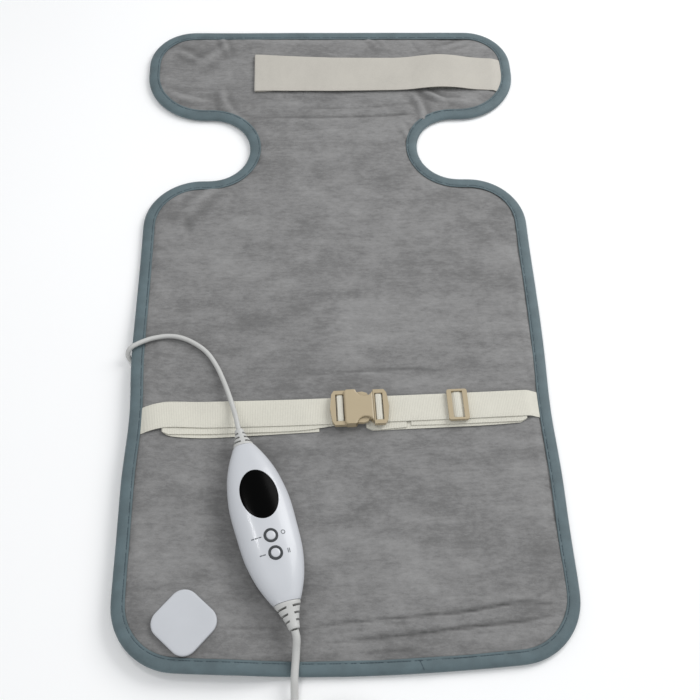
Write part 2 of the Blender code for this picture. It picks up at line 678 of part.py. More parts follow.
def neck_strap():
    y = TOP - NECK_STRAP_FROM_TOP
    half = ELASTIC_THICKNESS / 2
    low = PAD_TOP + GAP + half
    high = low + GAP + ELASTIC_THICKNESS
    raised = HOOK_TAPE_THICKNESS + GAP
    tape_end = NECK_STRAP_HINGE_X - 0.0365
    tape_start = tape_end - HOOK_TAPE_LENGTH
    fold = (NECK_STRAP_FOLD_X, (low + high) / 2)
    path = [(tape_end, low + raised), (tape_start - 0.004, low + raised), (tape_start - 0.016, low)]
    path += [(x, z) for x, z in arc(fold, (high - low) / 2, 270, 90, 4)]
    path += [(tape_start - 0.018, high), (tape_start - 0.006, high + raised),
             (tape_end + 0.003, high + raised)]
    path += [(tape_end + 0.016, low + GAP), (NECK_STRAP_HINGE_X, low)]
    hinge = (NECK_STRAP_HINGE_X, y, low + half)
    ribbon("neck_strap", [(x, y, z) for x, z in path], ELASTIC_WIDTH, ELASTIC_THICKNESS, WEBBING, at=hinge)
    tape_z = PAD_TOP + GAP
    box(
        "neck_strap_hook_tape",
        ((tape_start + tape_end) / 2 - hinge[0], 0, tape_z + HOOK_TAPE_THICKNESS / 2 - hinge[2]),
        (HOOK_TAPE_LENGTH, ELASTIC_WIDTH - 0.006, HOOK_TAPE_THICKNESS), HOOKS, at=hinge,
    )
    lower = Vector((COLLAR_WIDTH / 2 - COLLAR_LOWER_RADIUS, COLLAR_Y + COLLAR_LOWER_RADIUS))
    reach = COLLAR_LOWER_RADIUS - BINDING_WIDTH - 2 * GAP
    drop = max(lower.y - (y - ELASTIC_WIDTH / 2), 0)
    tab = [(NECK_STRAP_HINGE_X + GAP, low), (lower.x + sqrt(reach ** 2 - drop ** 2), low)]
    ribbon("neck_strap_tab", [(x, y, z) for x, z in tab], ELASTIC_WIDTH, ELASTIC_THICKNESS, WEBBING)


# ---------------------------------------------------------------- waist belt

def waist_parts():
    frame = empty("waist_frame", (0, HEM + WAIST_FROM_HEM, 0), (0, 0, WAIST_TILT))
    left_strap(frame)
    right_strap(frame)
    socket(frame)
    plug(frame)
    slider(frame)



def left_strap(frame):
    """Sewn to the left edge, over the socket's bar, back under itself and folded away."""
    edge = -SIDE + BINDING_WIDTH + 3 * GAP
    seam_z = BINDING_RISE + BINDING_HEIGHT - BINDING_WALL + GAP + WEBBING_THICKNESS / 2
    outer, inner = BUCKLE_X - BAR_OUTER, BUCKLE_X - BAR_INNER
    slip = -0.0055
    fold_end = -0.1570
    path = [(edge, 0, seam_z), (-SIDE + 0.0158, 0, LAYER_1 + GAP), (fold_end - 0.004, 0, LAYER_2 + 0.9 * MM)]
    path += [(fold_end + 0.004, 0, LAYER_3), (outer - 0.006, 0, LAYER_3)]
    path += [(outer - 0.5 * MM, 0, LAYER_3 + 0.3 * MM), (outer, 0, LAYER_3 + 1.2 * MM)]
    path += [(outer, 0, WRAP_TOP - 0.8 * MM), (outer + 0.8 * MM, 0, WRAP_TOP),
             (inner - 0.8 * MM, 0, WRAP_TOP)]
    path += [(inner, 0, WRAP_TOP - 0.8 * MM), (inner, 0, LAYER_2 + 0.6 * MM), (inner - 0.8 * MM, 0, LAYER_2)]
    path += [(inner - 0.012, slip / 3, LAYER_2), (-0.040, slip, LAYER_2), (fold_end + 0.008, slip, LAYER_2)]
    path += [(x, slip, z) for x, z in arc((fold_end, (LAYER_1 + LAYER_2) / 2), (LAYER_2 - LAYER_1) / 2,
                                          90, 270, 4)]
    path += [(-0.0213, slip, LAYER_1)]
    strap = ribbon("waist_strap_left", path, WEBBING_WIDTH, WEBBING_THICKNESS, WEBBING, parent=frame)
    lay(strap, WAIST_TILT, (0, HEM + WAIST_FROM_HEM, 0))


def right_strap(frame):
    """The adjustable half: sewn end, slack part, the loop on the plug and the folded tail."""
    edge = SIDE - BINDING_WIDTH - 3 * GAP
    seam_z = BINDING_RISE + BINDING_HEIGHT - BINDING_WALL + GAP + WEBBING_THICKNESS / 2
    fold_end = 0.1630
    path = [(SIDE - 0.1190, 0, LAYER_3), (fold_end - 0.002, 0, LAYER_3),
            (fold_end + 0.004, 0, LAYER_2 + 0.9 * MM)]
    path += [(SIDE - 0.0158, 0, LAYER_1 + GAP), (edge, 0, seam_z)]
    ribbon("waist_strap_right", path, WEBBING_WIDTH, WEBBING_THICKNESS, WEBBING, parent=frame)
    loop_end = BUCKLE_X + BUCKLE_LENGTH / 2 + 0.0022
    slack = [(loop_end + GAP, 0, LAYER_3), (SIDE - 0.1190 - GAP, 0, LAYER_3)]
    ribbon("waist_strap_slack", slack, WEBBING_WIDTH, WEBBING_THICKNESS, WEBBING, parent=frame)
    outer, inner = BUCKLE_X + BAR_OUTER, BUCKLE_X + BAR_INNER
    path = [(loop_end, 0, LAYER_3), (outer + 0.5 * MM, 0, LAYER_3 + 0.3 * MM), (outer, 0, LAYER_3 + 1.2 * MM)]
    path += [(outer, 0, WRAP_TOP - 0.8 * MM), (outer - 0.8 * MM, 0, WRAP_TOP),
             (inner + 0.8 * MM, 0, WRAP_TOP)]
    path += [(inner, 0, WRAP_TOP - 0.8 * MM), (inner, 0, LAYER_3)]
    ribbon("waist_strap_loop", path, WEBBING_WIDTH, WEBBING_THICKNESS, WEBBING, parent=frame)
    slip = -0.0055
    middle, radius = (LAYER_1 + LAYER_2) / 2, (LAYER_2 - LAYER_1) / 2
    near = BUCKLE_X + 0.0060
    path = [(0.0600, slip, LAYER_2), (fold_end - 0.006, slip, LAYER_2)]
    path += [(x, slip, z) for x, z in arc((fold_end, middle), radius, 90, -90, 4)]
    path += [(x, slip, z) for x, z in arc((near, middle), radius, 270, 90, 4)]
    path += [(0.0560, slip, LAYER_2)]
    ribbon("waist_strap_right_tail", path, WEBBING_WIDTH, WEBBING_THICKNESS, WEBBING, parent=frame)


def frame_outline(near, far, bulge):
    """Outline of a buckle's end frame, square at the body and rounded at the far end."""
    half = BUCKLE_WIDTH / 2
    way = copysign(1, far - near)
    points = [(near, -half), (far - way * 4 * MM, -half), (far - way * bulge, -half + 3.5 * MM), (far, 0)]
    return points + [(x, -y) for x, y in reversed(points[:3])]


def buckle_frame(name, near, far, frame, at=(0, 0, 0), finish=None):
    """The end frame of a buckle half, with two slots either side of its middle bar."""
    low, high = FRAME_LOW, FRAME_LOW + BUCKLE_FRAME_HEIGHT
    way = copysign(1, far - near)
    made = flat(name, [frame_outline(near, far, 1.6 * MM)], low, high, finish, parent=frame, at=at)
    half = WEBBING_WIDTH / 2 + 0.5 * MM
    inner, outer = way * (BAR_INNER - 1.0 * MM), way * (BAR_OUTER + 1.4 * MM)
    window = box(name + "_window", ((inner + outer) / 2, 0, high),
                 (abs(outer - inner), 2 * half, 3 * BUCKLE_HEIGHT),
                 parent=frame, at=at)
    bar = box(name + "_bar", (way * (BAR_INNER + BAR_OUTER) / 2, 0, low + 1.3 * MM),
              (BAR_OUTER - BAR_INNER - 2.2 * MM, 2 * half + 1 * MM, 2.2 * MM), parent=frame, at=at)
    cut(made, window)
    cut(made, bar, operation="UNION")
    return made


def socket_outline(left, mouth):
    """The socket's body from above, with a round notch for the finger on either side."""
    half = BUCKLE_WIDTH / 2
    centre = (mouth - 0.0073, -half - 1.2 * MM)
    radius = 7.8 * MM
    lower = [(left, 0), (left, 1.5 * MM - half), (left + 1.5 * MM, -half)]
    notch = arc(centre, radius, 171, 21, 8)
    lower += notch[:-1] + [(mouth, notch[-1][1])]
    return lower + [(x, -y) for x, y in reversed(lower[1:])]


def socket(frame):
    half_length, half = BUCKLE_LENGTH / 2, BUCKLE_WIDTH / 2
    at = (BUCKLE_X, 0, 0)
    low, high = BUCKLE_FLOOR, BUCKLE_FLOOR + BUCKLE_HEIGHT
    left, mouth = -0.0132, 0.0121
    made = buckle_frame("buckle_socket", left + 1 * MM, -half_length, frame, at, BUCKLE)
    body = flat("socket_body", [socket_outline(left, mouth)], low, high, parent=frame, at=at)
    round_edges(body, 1.2 * MM, 2)
    cut(made, body, operation="UNION")
    band = BUCKLE_HEIGHT - 2 * BUCKLE_WALL
    inner = left + BUCKLE_WALL
    hollow = box("socket_hollow", ((inner + mouth + 2 * MM) / 2, 0, (low + high) / 2),
                 (mouth + 2 * MM - inner, 2 * half - 6.6 * MM, band), parent=frame, at=at)
    open_side = -0.0040
    sides = box("socket_side_windows", ((open_side + mouth + 2 * MM) / 2, 0, (low + high) / 2),
                (mouth + 2 * MM - open_side, 2 * half + 4 * MM, band), parent=frame, at=at)
    cut(made, hollow, sides)


def plug(frame):
    """The plug's frame and guide, and the two arms that squeeze inwards to let it out."""
    at = (BUCKLE_X, 0, 0)
    near = 0.0125
    made = buckle_frame("buckle_plug", near, BUCKLE_LENGTH / 2, frame, at, BUCKLE)
    middle = BUCKLE_FLOOR + BUCKLE_HEIGHT / 2
    guide = box("plug_guide", ((near - 0.0100) / 2 + 0.5 * MM, 0, middle),
                (near + 0.0110, 4.4 * MM, ARM_HEIGHT),
                parent=frame, at=at)
    cut(made, guide, operation="UNION")
    for name, sign in (("buckle_arm_upper", 1), ("buckle_arm_lower", -1)):
        pivot = Vector((0.0112, sign * 0.0093, 0))
        points = [(0.0121, 0.0076), (0.0121, 0.0108), (0.0085, 0.0112), (0.0068, 0.0138), (0.0030, 0.0150)]
        points += [(-0.0022, 0.0146), (-0.0034, 0.0126), (-0.0100, 0.0104), (-0.0112, 0.0092),
                   (-0.0100, 0.0080)]
        points += [(-0.0030, 0.0086), (0.0060, 0.0078)]
        loop = [(x - pivot.x, sign * y - pivot.y) for x, y in points]
        arm = flat(name, [loop], middle - ARM_HEIGHT / 2, middle + ARM_HEIGHT / 2, BUCKLE,
                   parent=frame, at=Vector(at) + pivot)
        round_edges(arm, 0.3 * MM)


def slider(frame):
    at = (SLIDER_X, 0, 0)
    low = LAYER_3 + WEBBING_THICKNESS / 2 + GAP
    high = low + SLIDER_HEIGHT
    half, reach = SLIDER_LENGTH / 2, SLIDER_WIDTH / 2
    corner = 2.0 * MM
    loop = []
    for i, (x, y) in enumerate(((1, 1), (-1, 1), (-1, -1), (1, -1))):
        loop += arc((x * (half - corner), y * (reach - corner)), corner, 90 * i, 90 * i + 90, 3)
    made = flat("strap_slider", [loop], low, high, BUCKLE, parent=frame, at=at)
    rail = WEBBING_WIDTH / 2 + 0.4 * MM
    inside = box("slider_window", (0, 0, high), (2 * half - 8.4 * MM, 2 * rail, 4 * SLIDER_HEIGHT),
                 parent=frame, at=at)
    under = box("slider_underside", (0, 0, low), (2 * SLIDER_LENGTH, 2 * rail, 3.0 * MM), parent=frame, at=at)
    bar = box("slider_bar", (0, 0, low + 0.6 * MM), (2.0 * MM, 2 * rail + 1 * MM, 1.2 * MM), parent=frame,
              at=at)
    cut(made, inside, under)
    cut(made, bar, operation="UNION")
    half_webbing = WEBBING_THICKNESS / 2
    top = low + 1.2 * MM + GAP + half_webbing
    foot = low + half_webbing
    path = [(-half + 0.8 * MM, foot), (-half + 4.6 * MM, foot), (-2.2 * MM, top), (2.2 * MM, top)]
    path += [(half - 4.6 * MM, foot), (half - 0.8 * MM, foot)]
    path = [(SLIDER_X + x, 0, z) for x, z in path]
    ribbon("slider_webbing", path, WEBBING_WIDTH, WEBBING_THICKNESS * 0.9, WEBBING, parent=frame, at=at)


# ---------------------------------------------------------------- handset

def handset_section(y):
    """Half width and half height of the handset at a place along it."""
    places = [Vector((a, w, h)) for a, w, h in HANDSET_STATIONS]
    fine = blend_curve(places, 12)
    for near, far in zip(fine, fine[1:]):
        if near.x <= y <= far.x + 1e-9:
            mixed = near.lerp(far, (y - near.x) / (far.x - near.x))
            return mixed.y, mixed.z
    end = places[0] if y < places[0].x else places[-1]
    return end.y, end.z


def handset_arch(y, inset, side, steps):
    """Half of a section, from its right edge over the top or under the belly to its left edge."""
    width, height = (size - inset for size in handset_section(y))
    power = 2 / HANDSET_ROUNDNESS
    points = []
    for i in range(steps + 1):
        turn = pi * i / steps
        x = copysign(abs(cos(turn)) ** power, cos(turn)) * width
        points.append((x, y, side * abs(sin(turn)) ** power * height))
    return points


def handset_skin(name, side, inset, wall, finish, frame):
    """A thin curved shell of the handset: side is +1 for the top half and -1 for the bottom."""
    low, high = HANDSET_STATIONS[0][0], HANDSET_STATIONS[-1][0]
    steps, count = 9, 11
    rings = []
    for i in range(count + 1):
        y = low + (high - low) * i / count
        outer = handset_arch(y, inset, side, steps)
        inner = handset_arch(y, inset + wall, side, steps)
        rings.append([(x, y, z + side * GAP / 2) for x, y, z in outer + list(reversed(inner))])
    return new_object(name, mesh_from(skin(rings), name), finish, frame)


def oval(length, width, steps=28):
    return [(width / 2 * cos(2 * pi * i / steps), DISPLAY_Y + length / 2 * sin(2 * pi * i / steps))
            for i in range(steps)]


def handset():
    place = (-SIDE + HANDSET_FROM_SIDE, HEM + HANDSET_FROM_HEM, HANDSET_Z)
    frame = empty("handset_frame", place)
    spin = Matrix.Rotation(HANDSET_YAW, 4, "Z") @ Matrix.Rotation(HANDSET_ROLL, 4, "Y")
    frame.rotation_euler = spin.to_euler()
    top = handset_skin("handset_top_shell", 1, 0, HANDSET_WALL, SHELL, frame)
    bottom = handset_skin("handset_bottom_shell", -1, 0, HANDSET_WALL, SHELL, frame)
    opening = flat("display_opening", [oval(DISPLAY_LENGTH, DISPLAY_WIDTH)], 2 * MM, 0.02, parent=frame)
    cut(top, opening)
    pane = handset_skin("display_window", 1, 0.15 * MM, 1.3 * MM, BLACK, frame)
    edge = flat("window_edge", [oval(DISPLAY_LENGTH - 2 * GAP, DISPLAY_WIDTH - 2 * GAP)], 2 * MM, 0.02,
                parent=frame)
    cut(pane, edge, operation="INTERSECT")
    deck = BOARD_THICKNESS / 2
    buttons(frame, top, deck)
    electronics(frame, deck)
    fixings(frame, top, bottom, deck)
    strain_relief("strain_relief_lower", frame, HANDSET_STATIONS[0], -1, 0.0210, MAINS_CORD_DIAMETER)
    strain_relief("strain_relief_upper", frame, HANDSET_STATIONS[-1], 1, 0.0160, PAD_CORD_DIAMETER)


def buttons(frame, top, deck):
    for name, y in BUTTON_Y.items():
        crown = handset_section(y)[1] + GAP / 2
        short = name.split("_")[0]
        hole = rod(name + "_hole", (0, y, 3 * MM), (0, y, 0.02), RING_RADIUS + GAP, sides=24, parent=frame)
        cut(top, hole)
        bore = BUTTON_RADIUS + GAP
        rim = crown + 0.45 * MM
        seat = crown - HANDSET_WALL
        ring = [(RING_RADIUS - 0.4 * MM, rim), (RING_RADIUS, rim - 0.4 * MM), (RING_RADIUS, seat),
                (bore, seat),
                (bore, rim)]
        screw_profile(short + "_button_ring", ring, RING, True, 24, parent=frame, at=(0, y, 0))
        cap = rim + 0.5 * MM
        flange = seat - GAP
        switch_top = deck + GAP + 4.2 * MM
        stem = switch_top + BUTTON_TRAVEL + GAP
        profile = [(0, cap), (BUTTON_RADIUS - 0.6 * MM, cap), (BUTTON_RADIUS, cap - 0.5 * MM)]
        profile += [(BUTTON_RADIUS, flange), (BUTTON_RADIUS + 1 * MM, flange)]
        profile += [(BUTTON_RADIUS + 1 * MM, flange - 0.8 * MM), (1.5 * MM, flange - 0.8 * MM),
                    (1.5 * MM, stem), (0, stem)]
        screw_profile(name, profile, SHELL, False, 24, parent=frame, at=(0, y, 0))
        body = box(short + "_switch", (0, y, deck + GAP + 1.6 * MM), (6 * MM, 6 * MM, 3.2 * MM), DARK,
                   parent=frame)
        tip = rod(short + "_switch_tip", (0, y, deck + 2 * MM), (0, y, switch_top), 1.6 * MM, sides=12,
                  parent=frame)
        cut(body, tip, operation="UNION")


def electronics(frame, deck):
    length = HANDSET_SCREWS["handset_screw_upper"] - HANDSET_SCREWS["handset_screw_lower"] - 0.0090
    middle = (HANDSET_SCREWS["handset_screw_upper"] + HANDSET_SCREWS["handset_screw_lower"]) / 2
    half, reach, chamfer = BOARD_WIDTH / 2, length / 2, 0.006
    corners = [(half, -reach + chamfer), (half, reach - chamfer), (half - chamfer, reach),
               (-half + chamfer, reach)]
    corners += [(-half, reach - chamfer), (-half, -reach + chamfer), (-half + chamfer, -reach),
                (half - chamfer, -reach)]
    flat("circuit_board", [[(x, y + middle) for x, y in corners]], -deck, deck, BOARD, parent=frame)
    module_top = 8.2 * MM
    box("display_module", (0, DISPLAY_Y, (deck + GAP + module_top) / 2),
        (0.0210, 0.0320, module_top - deck - GAP), DARK, parent=frame)
    below = -deck - GAP
    box("film_capacitor", (0, 0.0, below - 3 * MM), (15 * MM, 8 * MM, 6 * MM), BUCKLE, 0.5 * MM, parent=frame)
    box("triac", (0, -0.0200, below - 2.3 * MM), (10 * MM, 15 * MM, 4.6 * MM), DARK, 0.4 * MM, parent=frame)
    rod("line_fuse", (-0.010, 0.0160, below - 2.6 * MM), (0.010, 0.0160, below - 2.6 * MM), 2.6 * MM, STEEL,
        sides=12, parent=frame)


def fixings(frame, top, bottom, deck):
    """Posts that carry the board, and the two screws that hold the shells together."""
    shaft, head = 1.2 * MM, 2.4 * MM
    for x, y in ((-0.009, 0.033), (0.009, 0.033), (-0.009, -0.038), (0.009, -0.038)):
        depth = handset_section(y)[1] - 0.6 * HANDSET_WALL
        drop = 1 - abs(x / handset_section(y)[0]) ** HANDSET_ROUNDNESS
        floor_z = -depth * drop ** (1 / HANDSET_ROUNDNESS)
        post = rod("board_post", (x, y, floor_z), (x, y, -deck - GAP), 2.0 * MM, sides=12, parent=frame)
        cut(bottom, post, operation="UNION")
    for name, y in HANDSET_SCREWS.items():
        depth = handset_section(y)[1]
        lower = rod(name + "_lower_boss", (0, y, -depth + 0.9 * MM), (0, y, -GAP / 2), 3.6 * MM, sides=16,
                    parent=frame)
        upper = rod(name + "_upper_boss", (0, y, GAP / 2), (0, y, depth - 0.9 * MM), 2.9 * MM, sides=16,
                    parent=frame)
        bore = rod(name + "_bore", (0, y, -0.02), (0, y, 5.4 * MM), shaft + GAP, sides=12, parent=frame)
        well = rod(name + "_well", (0, y, -0.02), (0, y, -4.2 * MM), head + GAP, sides=16, parent=frame)
        cut(bottom, lower, operation="UNION")
        cut(top, upper, operation="UNION")
        cut(bottom, bore, well)
        cut(top, bore)
        low, shoulder, tip = -6.2 * MM, -4.5 * MM, 5.0 * MM
        profile = [(0, tip), (shaft, tip), (shaft, shoulder), (head, shoulder), (head, low), (0, low)]
        screw_profile(name, profile, STEEL, False, 12, parent=frame, at=(0, y, 0))


def strain_relief(name, frame, station, way, length, diameter):
    """A tapered boot on the end of the handset, slotted from both sides so that it bends."""
    end, width, height = station
    start_y = end + way * GAP
    tip = diameter / 2 + 1.4 * MM
    stub = (width - HANDSET_WALL - 0.5 * MM, height - HANDSET_WALL - 0.5 * MM)
    sections = [(end - way * 5 * MM, *stub), (start_y, *stub), (start_y, width - 0.1 * MM, height - 0.1 * MM)]
    for share, wide in ((0.25, 0.62), (0.6, 0.26), (1.0, 0.0)):
        sections.append((start_y + way * length * share, tip + (width - tip) * wide,
                         tip + (height - tip) * wide))
    rings = [
        [(w * cos(2 * pi * i / 20), y, h * sin(2 * pi * i / 20)) for i in range(20)] for y, w, h in sections
    ]
    made = new_object(name, mesh_from(skin(rings), name), BOOT, frame)
    pitch = length / 3.9
    for row in range(3):
        y = start_y + way * (pitch * 0.85 + pitch * row)
        for side in (-1, 1):
            web = diameter / 2 - 0.2 * MM
            slot = box(name + "_slot", (side * (web + 0.010), y, 0), (0.020, 1.7 * MM, 0.040), parent=frame)
            cut(made, slot)


# ---------------------------------------------------------------- cords

def cords():
    tube("pad_cord", blend_curve(PAD_CORD_ROUTE, 2), PAD_CORD_DIAMETER, BOOT)
    tube("mains_cord", blend_curve(MAINS_CORD_ROUTE, 2), MAINS_CORD_DIAMETER, BOOT)
    tube("mains_cord_tail", blend_curve(MAINS_TAIL_ROUTE, 2), MAINS_CORD_DIAMETER, BOOT)
    half, tall = COIL_BUNDLE[0] / 2, COIL_BUNDLE[1]
    soft = 4 * MM
    inside, outside = COIL_RADIUS - half, COIL_RADIUS + half
    base = 0.4 * MM
    ring = [(inside + soft, base + tall), (outside - soft, base + tall), (outside, base + tall - soft)]
    ring += [(outside, base + soft), (outside - soft, base), (inside + soft, base)]
    ring += [(inside, base + soft), (inside, base + tall - soft)]
    screw_profile("mains_coil", ring, BOOT, True, 28, at=(*COIL_CENTRE, 0))
    coil_tie(inside, outside, base, tall)
    mains_plug()


def coil_tie(inside, outside, base, tall):
    """A tie strip round the wound turns, on the side away from the pad."""
    wall, half = 0.5 * MM, 3 * MM
    inner = [(inside - GAP, base - 0.2 * MM), (outside + GAP, base - 0.2 * MM),
             (outside + GAP, base + tall + GAP), (inside - GAP, base + tall + GAP)]
    outer = [(inside - GAP - wall, 0), (outside + GAP + wall, 0),
             (outside + GAP + wall, base + tall + GAP + wall),
             (inside - GAP - wall, base + tall + GAP + wall)]
    places = ((outer, -half), (outer, half), (inner, half), (inner, -half))
    rings = [[(x, y, z) for x, z in section] for section, y in places]
    tie = mesh_from(skin(rings, cyclic=True), "coil_tie")
    new_object("coil_tie", tie, DARK, at=(*COIL_CENTRE, 0), turn=radians(215))


def mains_plug():
    """Flat two-pin plug lying beside the coil, its pins pointing to +X."""
    end = Vector(MAINS_TAIL_ROUTE[-1])
    z = PLUG_HEIGHT / 2
    x = end.x + GAP
    half, tall = PLUG_WIDTH / 2, PLUG_HEIGHT / 2
    neck = MAINS_CORD_DIAMETER / 2 + 0.6 * MM
    boot = 0.022
    sections = [(x, neck, neck), (x + boot, neck + 1.6 * MM, neck + 1.4 * MM),
                (x + boot + 4 * MM, half * 0.72, tall * 0.86)]
    sections += [(x + boot + 10 * MM, half, tall), (x + boot + PLUG_LENGTH, half * 0.94, tall)]
    rings = []
    for place, wide, high in sections:
        ring = []
        for i in range(20):
            turn = 2 * pi * i / 20
            ring.append((place, end.y + copysign(abs(cos(turn)) ** 0.6, cos(turn)) * wide,
                         z + copysign(abs(sin(turn)) ** 0.6, sin(turn)) * high))
        rings.append(ring)
    new_object("plug_body", mesh_from(skin(rings), "plug_body"), BOOT)
    face = x + boot + PLUG_LENGTH + GAP
    for name, sign in (("plug_pin_left", 1), ("plug_pin_right", -1)):
        y = end.y + sign * PIN_SPACING / 2
        pin = rod(name, (face, y, z), (face + PIN_LENGTH, y, z), PIN_RADIUS, BRASS, sides=14)
        round_edges(pin, 0.5 * MM)


pad_layers()
edge_binding()
heating_wire()
connector()
neck_strap()
waist_parts()
handset()
cords()
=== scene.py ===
"""Looks of the back and neck heating pad: cloth, webbing, cords, plastics, light and camera."""

from math import atan2, copysign, cos, degrees, pi, radians, sin, sqrt

import bmesh
import bpy
import numpy as np
from mathutils import Euler, Matrix, Vector, noise


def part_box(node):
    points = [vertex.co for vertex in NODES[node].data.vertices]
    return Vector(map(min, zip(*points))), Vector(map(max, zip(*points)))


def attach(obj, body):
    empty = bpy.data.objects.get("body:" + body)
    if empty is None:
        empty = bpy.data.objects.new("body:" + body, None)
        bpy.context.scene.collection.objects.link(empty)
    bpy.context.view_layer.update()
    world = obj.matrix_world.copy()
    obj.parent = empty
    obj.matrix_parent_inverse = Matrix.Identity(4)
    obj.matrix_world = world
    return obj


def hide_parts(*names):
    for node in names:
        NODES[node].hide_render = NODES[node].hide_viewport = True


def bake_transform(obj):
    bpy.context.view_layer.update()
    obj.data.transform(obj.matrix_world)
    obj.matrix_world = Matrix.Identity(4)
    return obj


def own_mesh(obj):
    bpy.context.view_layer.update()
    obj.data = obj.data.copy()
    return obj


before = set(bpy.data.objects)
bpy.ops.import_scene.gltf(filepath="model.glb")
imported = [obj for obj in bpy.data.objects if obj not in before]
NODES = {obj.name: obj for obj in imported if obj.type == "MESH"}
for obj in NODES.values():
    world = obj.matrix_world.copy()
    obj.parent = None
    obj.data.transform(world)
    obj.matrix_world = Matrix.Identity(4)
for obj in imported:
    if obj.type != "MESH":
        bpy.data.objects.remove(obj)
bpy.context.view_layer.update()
MM = 0.001

# the pad: its box is read from the frame, and the rest repeats the CAD's own sizes
BIND_LOW, BIND_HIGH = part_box("edge_binding")
HEM, TOP = BIND_LOW.y, BIND_HIGH.y
COLLAR_HALF = BIND_HIGH.x
SIDE = 0.190
COLLAR_Y = TOP - 0.1255
SHOULDER_Y = COLLAR_Y - 0.081
NOTCH_X = 0.127
TAPE_WIDTH = 11 * MM                 # how far in the binding hides the cloth
PLUSH_TOP = 7.2 * MM
LIFT = 7.6 * MM                     # of the lower left corner, over the thin cord
LIFT_RAMP = 0.062
FOLD_POINT = Vector((-SIDE, HEM + 0.4065))
FOLD_END = Vector((-SIDE + 0.162, HEM))
CONNECTOR = Vector((-SIDE + 0.0596, HEM + 0.0425, 0))
WAIST = Matrix.Translation((0, HEM + 0.2256, 0)) @ Matrix.Rotation(radians(1.5), 4, "Z")
LAYERS = [8.0 * MM, 9.3 * MM, 10.6 * MM]     # heights of the belt's three layers
BUCKLE_X = 0.0149
NECK_Y = TOP - 0.0655
NECK_HINGE = Vector((0.1710, NECK_Y, 8.8 * MM))
HANDSET_PLACE = Matrix.Translation((-SIDE + 0.1222, HEM + 0.1221, 20.3 * MM))
HANDSET = HANDSET_PLACE @ Matrix.Rotation(radians(15.4), 4, "Z") @ Matrix.Rotation(radians(8), 4, "Y")


# -------- camera, light and floor

def add(name, data):
    made = bpy.data.objects.new(name, data)
    bpy.context.scene.collection.objects.link(made)
    return made


def mesh_from(name, bm):
    """A mesh object made from a bmesh, which is freed."""
    data = bpy.data.meshes.new(name)
    bm.to_mesh(data)
    bm.free()
    return add(name, data)


def camera():
    lens = bpy.data.cameras.new("camera")
    lens.lens, lens.sensor_width = 50, 36
    seen = add("camera", lens)
    place = Vector((-0.02830, -0.48135, 0.79398))
    turn = Euler([radians(angle) for angle in (28.315, -1.669, -1.912)])
    seen.matrix_world = Matrix.LocRotScale(place, turn, None)
    bpy.context.scene.camera = seen


def area_light(name, place, aim, size, watts):
    """A soft rectangular light that looks from a place to a point."""
    lamp = bpy.data.lights.new(name, "AREA")
    lamp.shape = "RECTANGLE"
    lamp.size, lamp.size_y = size
    lamp.energy = watts
    light = add(name, lamp)
    light.location = place
    light.rotation_euler = (Vector(aim) - Vector(place)).to_track_quat("-Z", "Y").to_euler()


def studio():
    scene = bpy.context.scene
    scene.view_settings.view_transform = "Standard"
    world = bpy.data.worlds.new("studio")
    world.use_nodes = True
    sky = world.node_tree.nodes["Background"].inputs
    sky["Color"].default_value = (0.96, 0.98, 1.0, 1)
    sky["Strength"].default_value = 0.56
    scene.world = world
    area_light("key", (1.25, 0.85, 1.25), (0, -0.05, 0), (1.1, 1.1), 23)
    area_light("softbox", (-0.29, 0.06, 1.17), (-0.07, -0.23, 0), (0.13, 0.20), 1.6)
    area_light("front", (-0.5, -1.5, 1.5), (0, 0, 0), (1.2, 0.8), 5)
    bm = bmesh.new()
    bmesh.ops.create_grid(bm, x_segments=1, y_segments=1, size=6)
    floor = mesh_from("floor", bm)
    floor.location.z = -0.05 * MM
    floor.data.materials.append(floor_paint())


# -------- materials

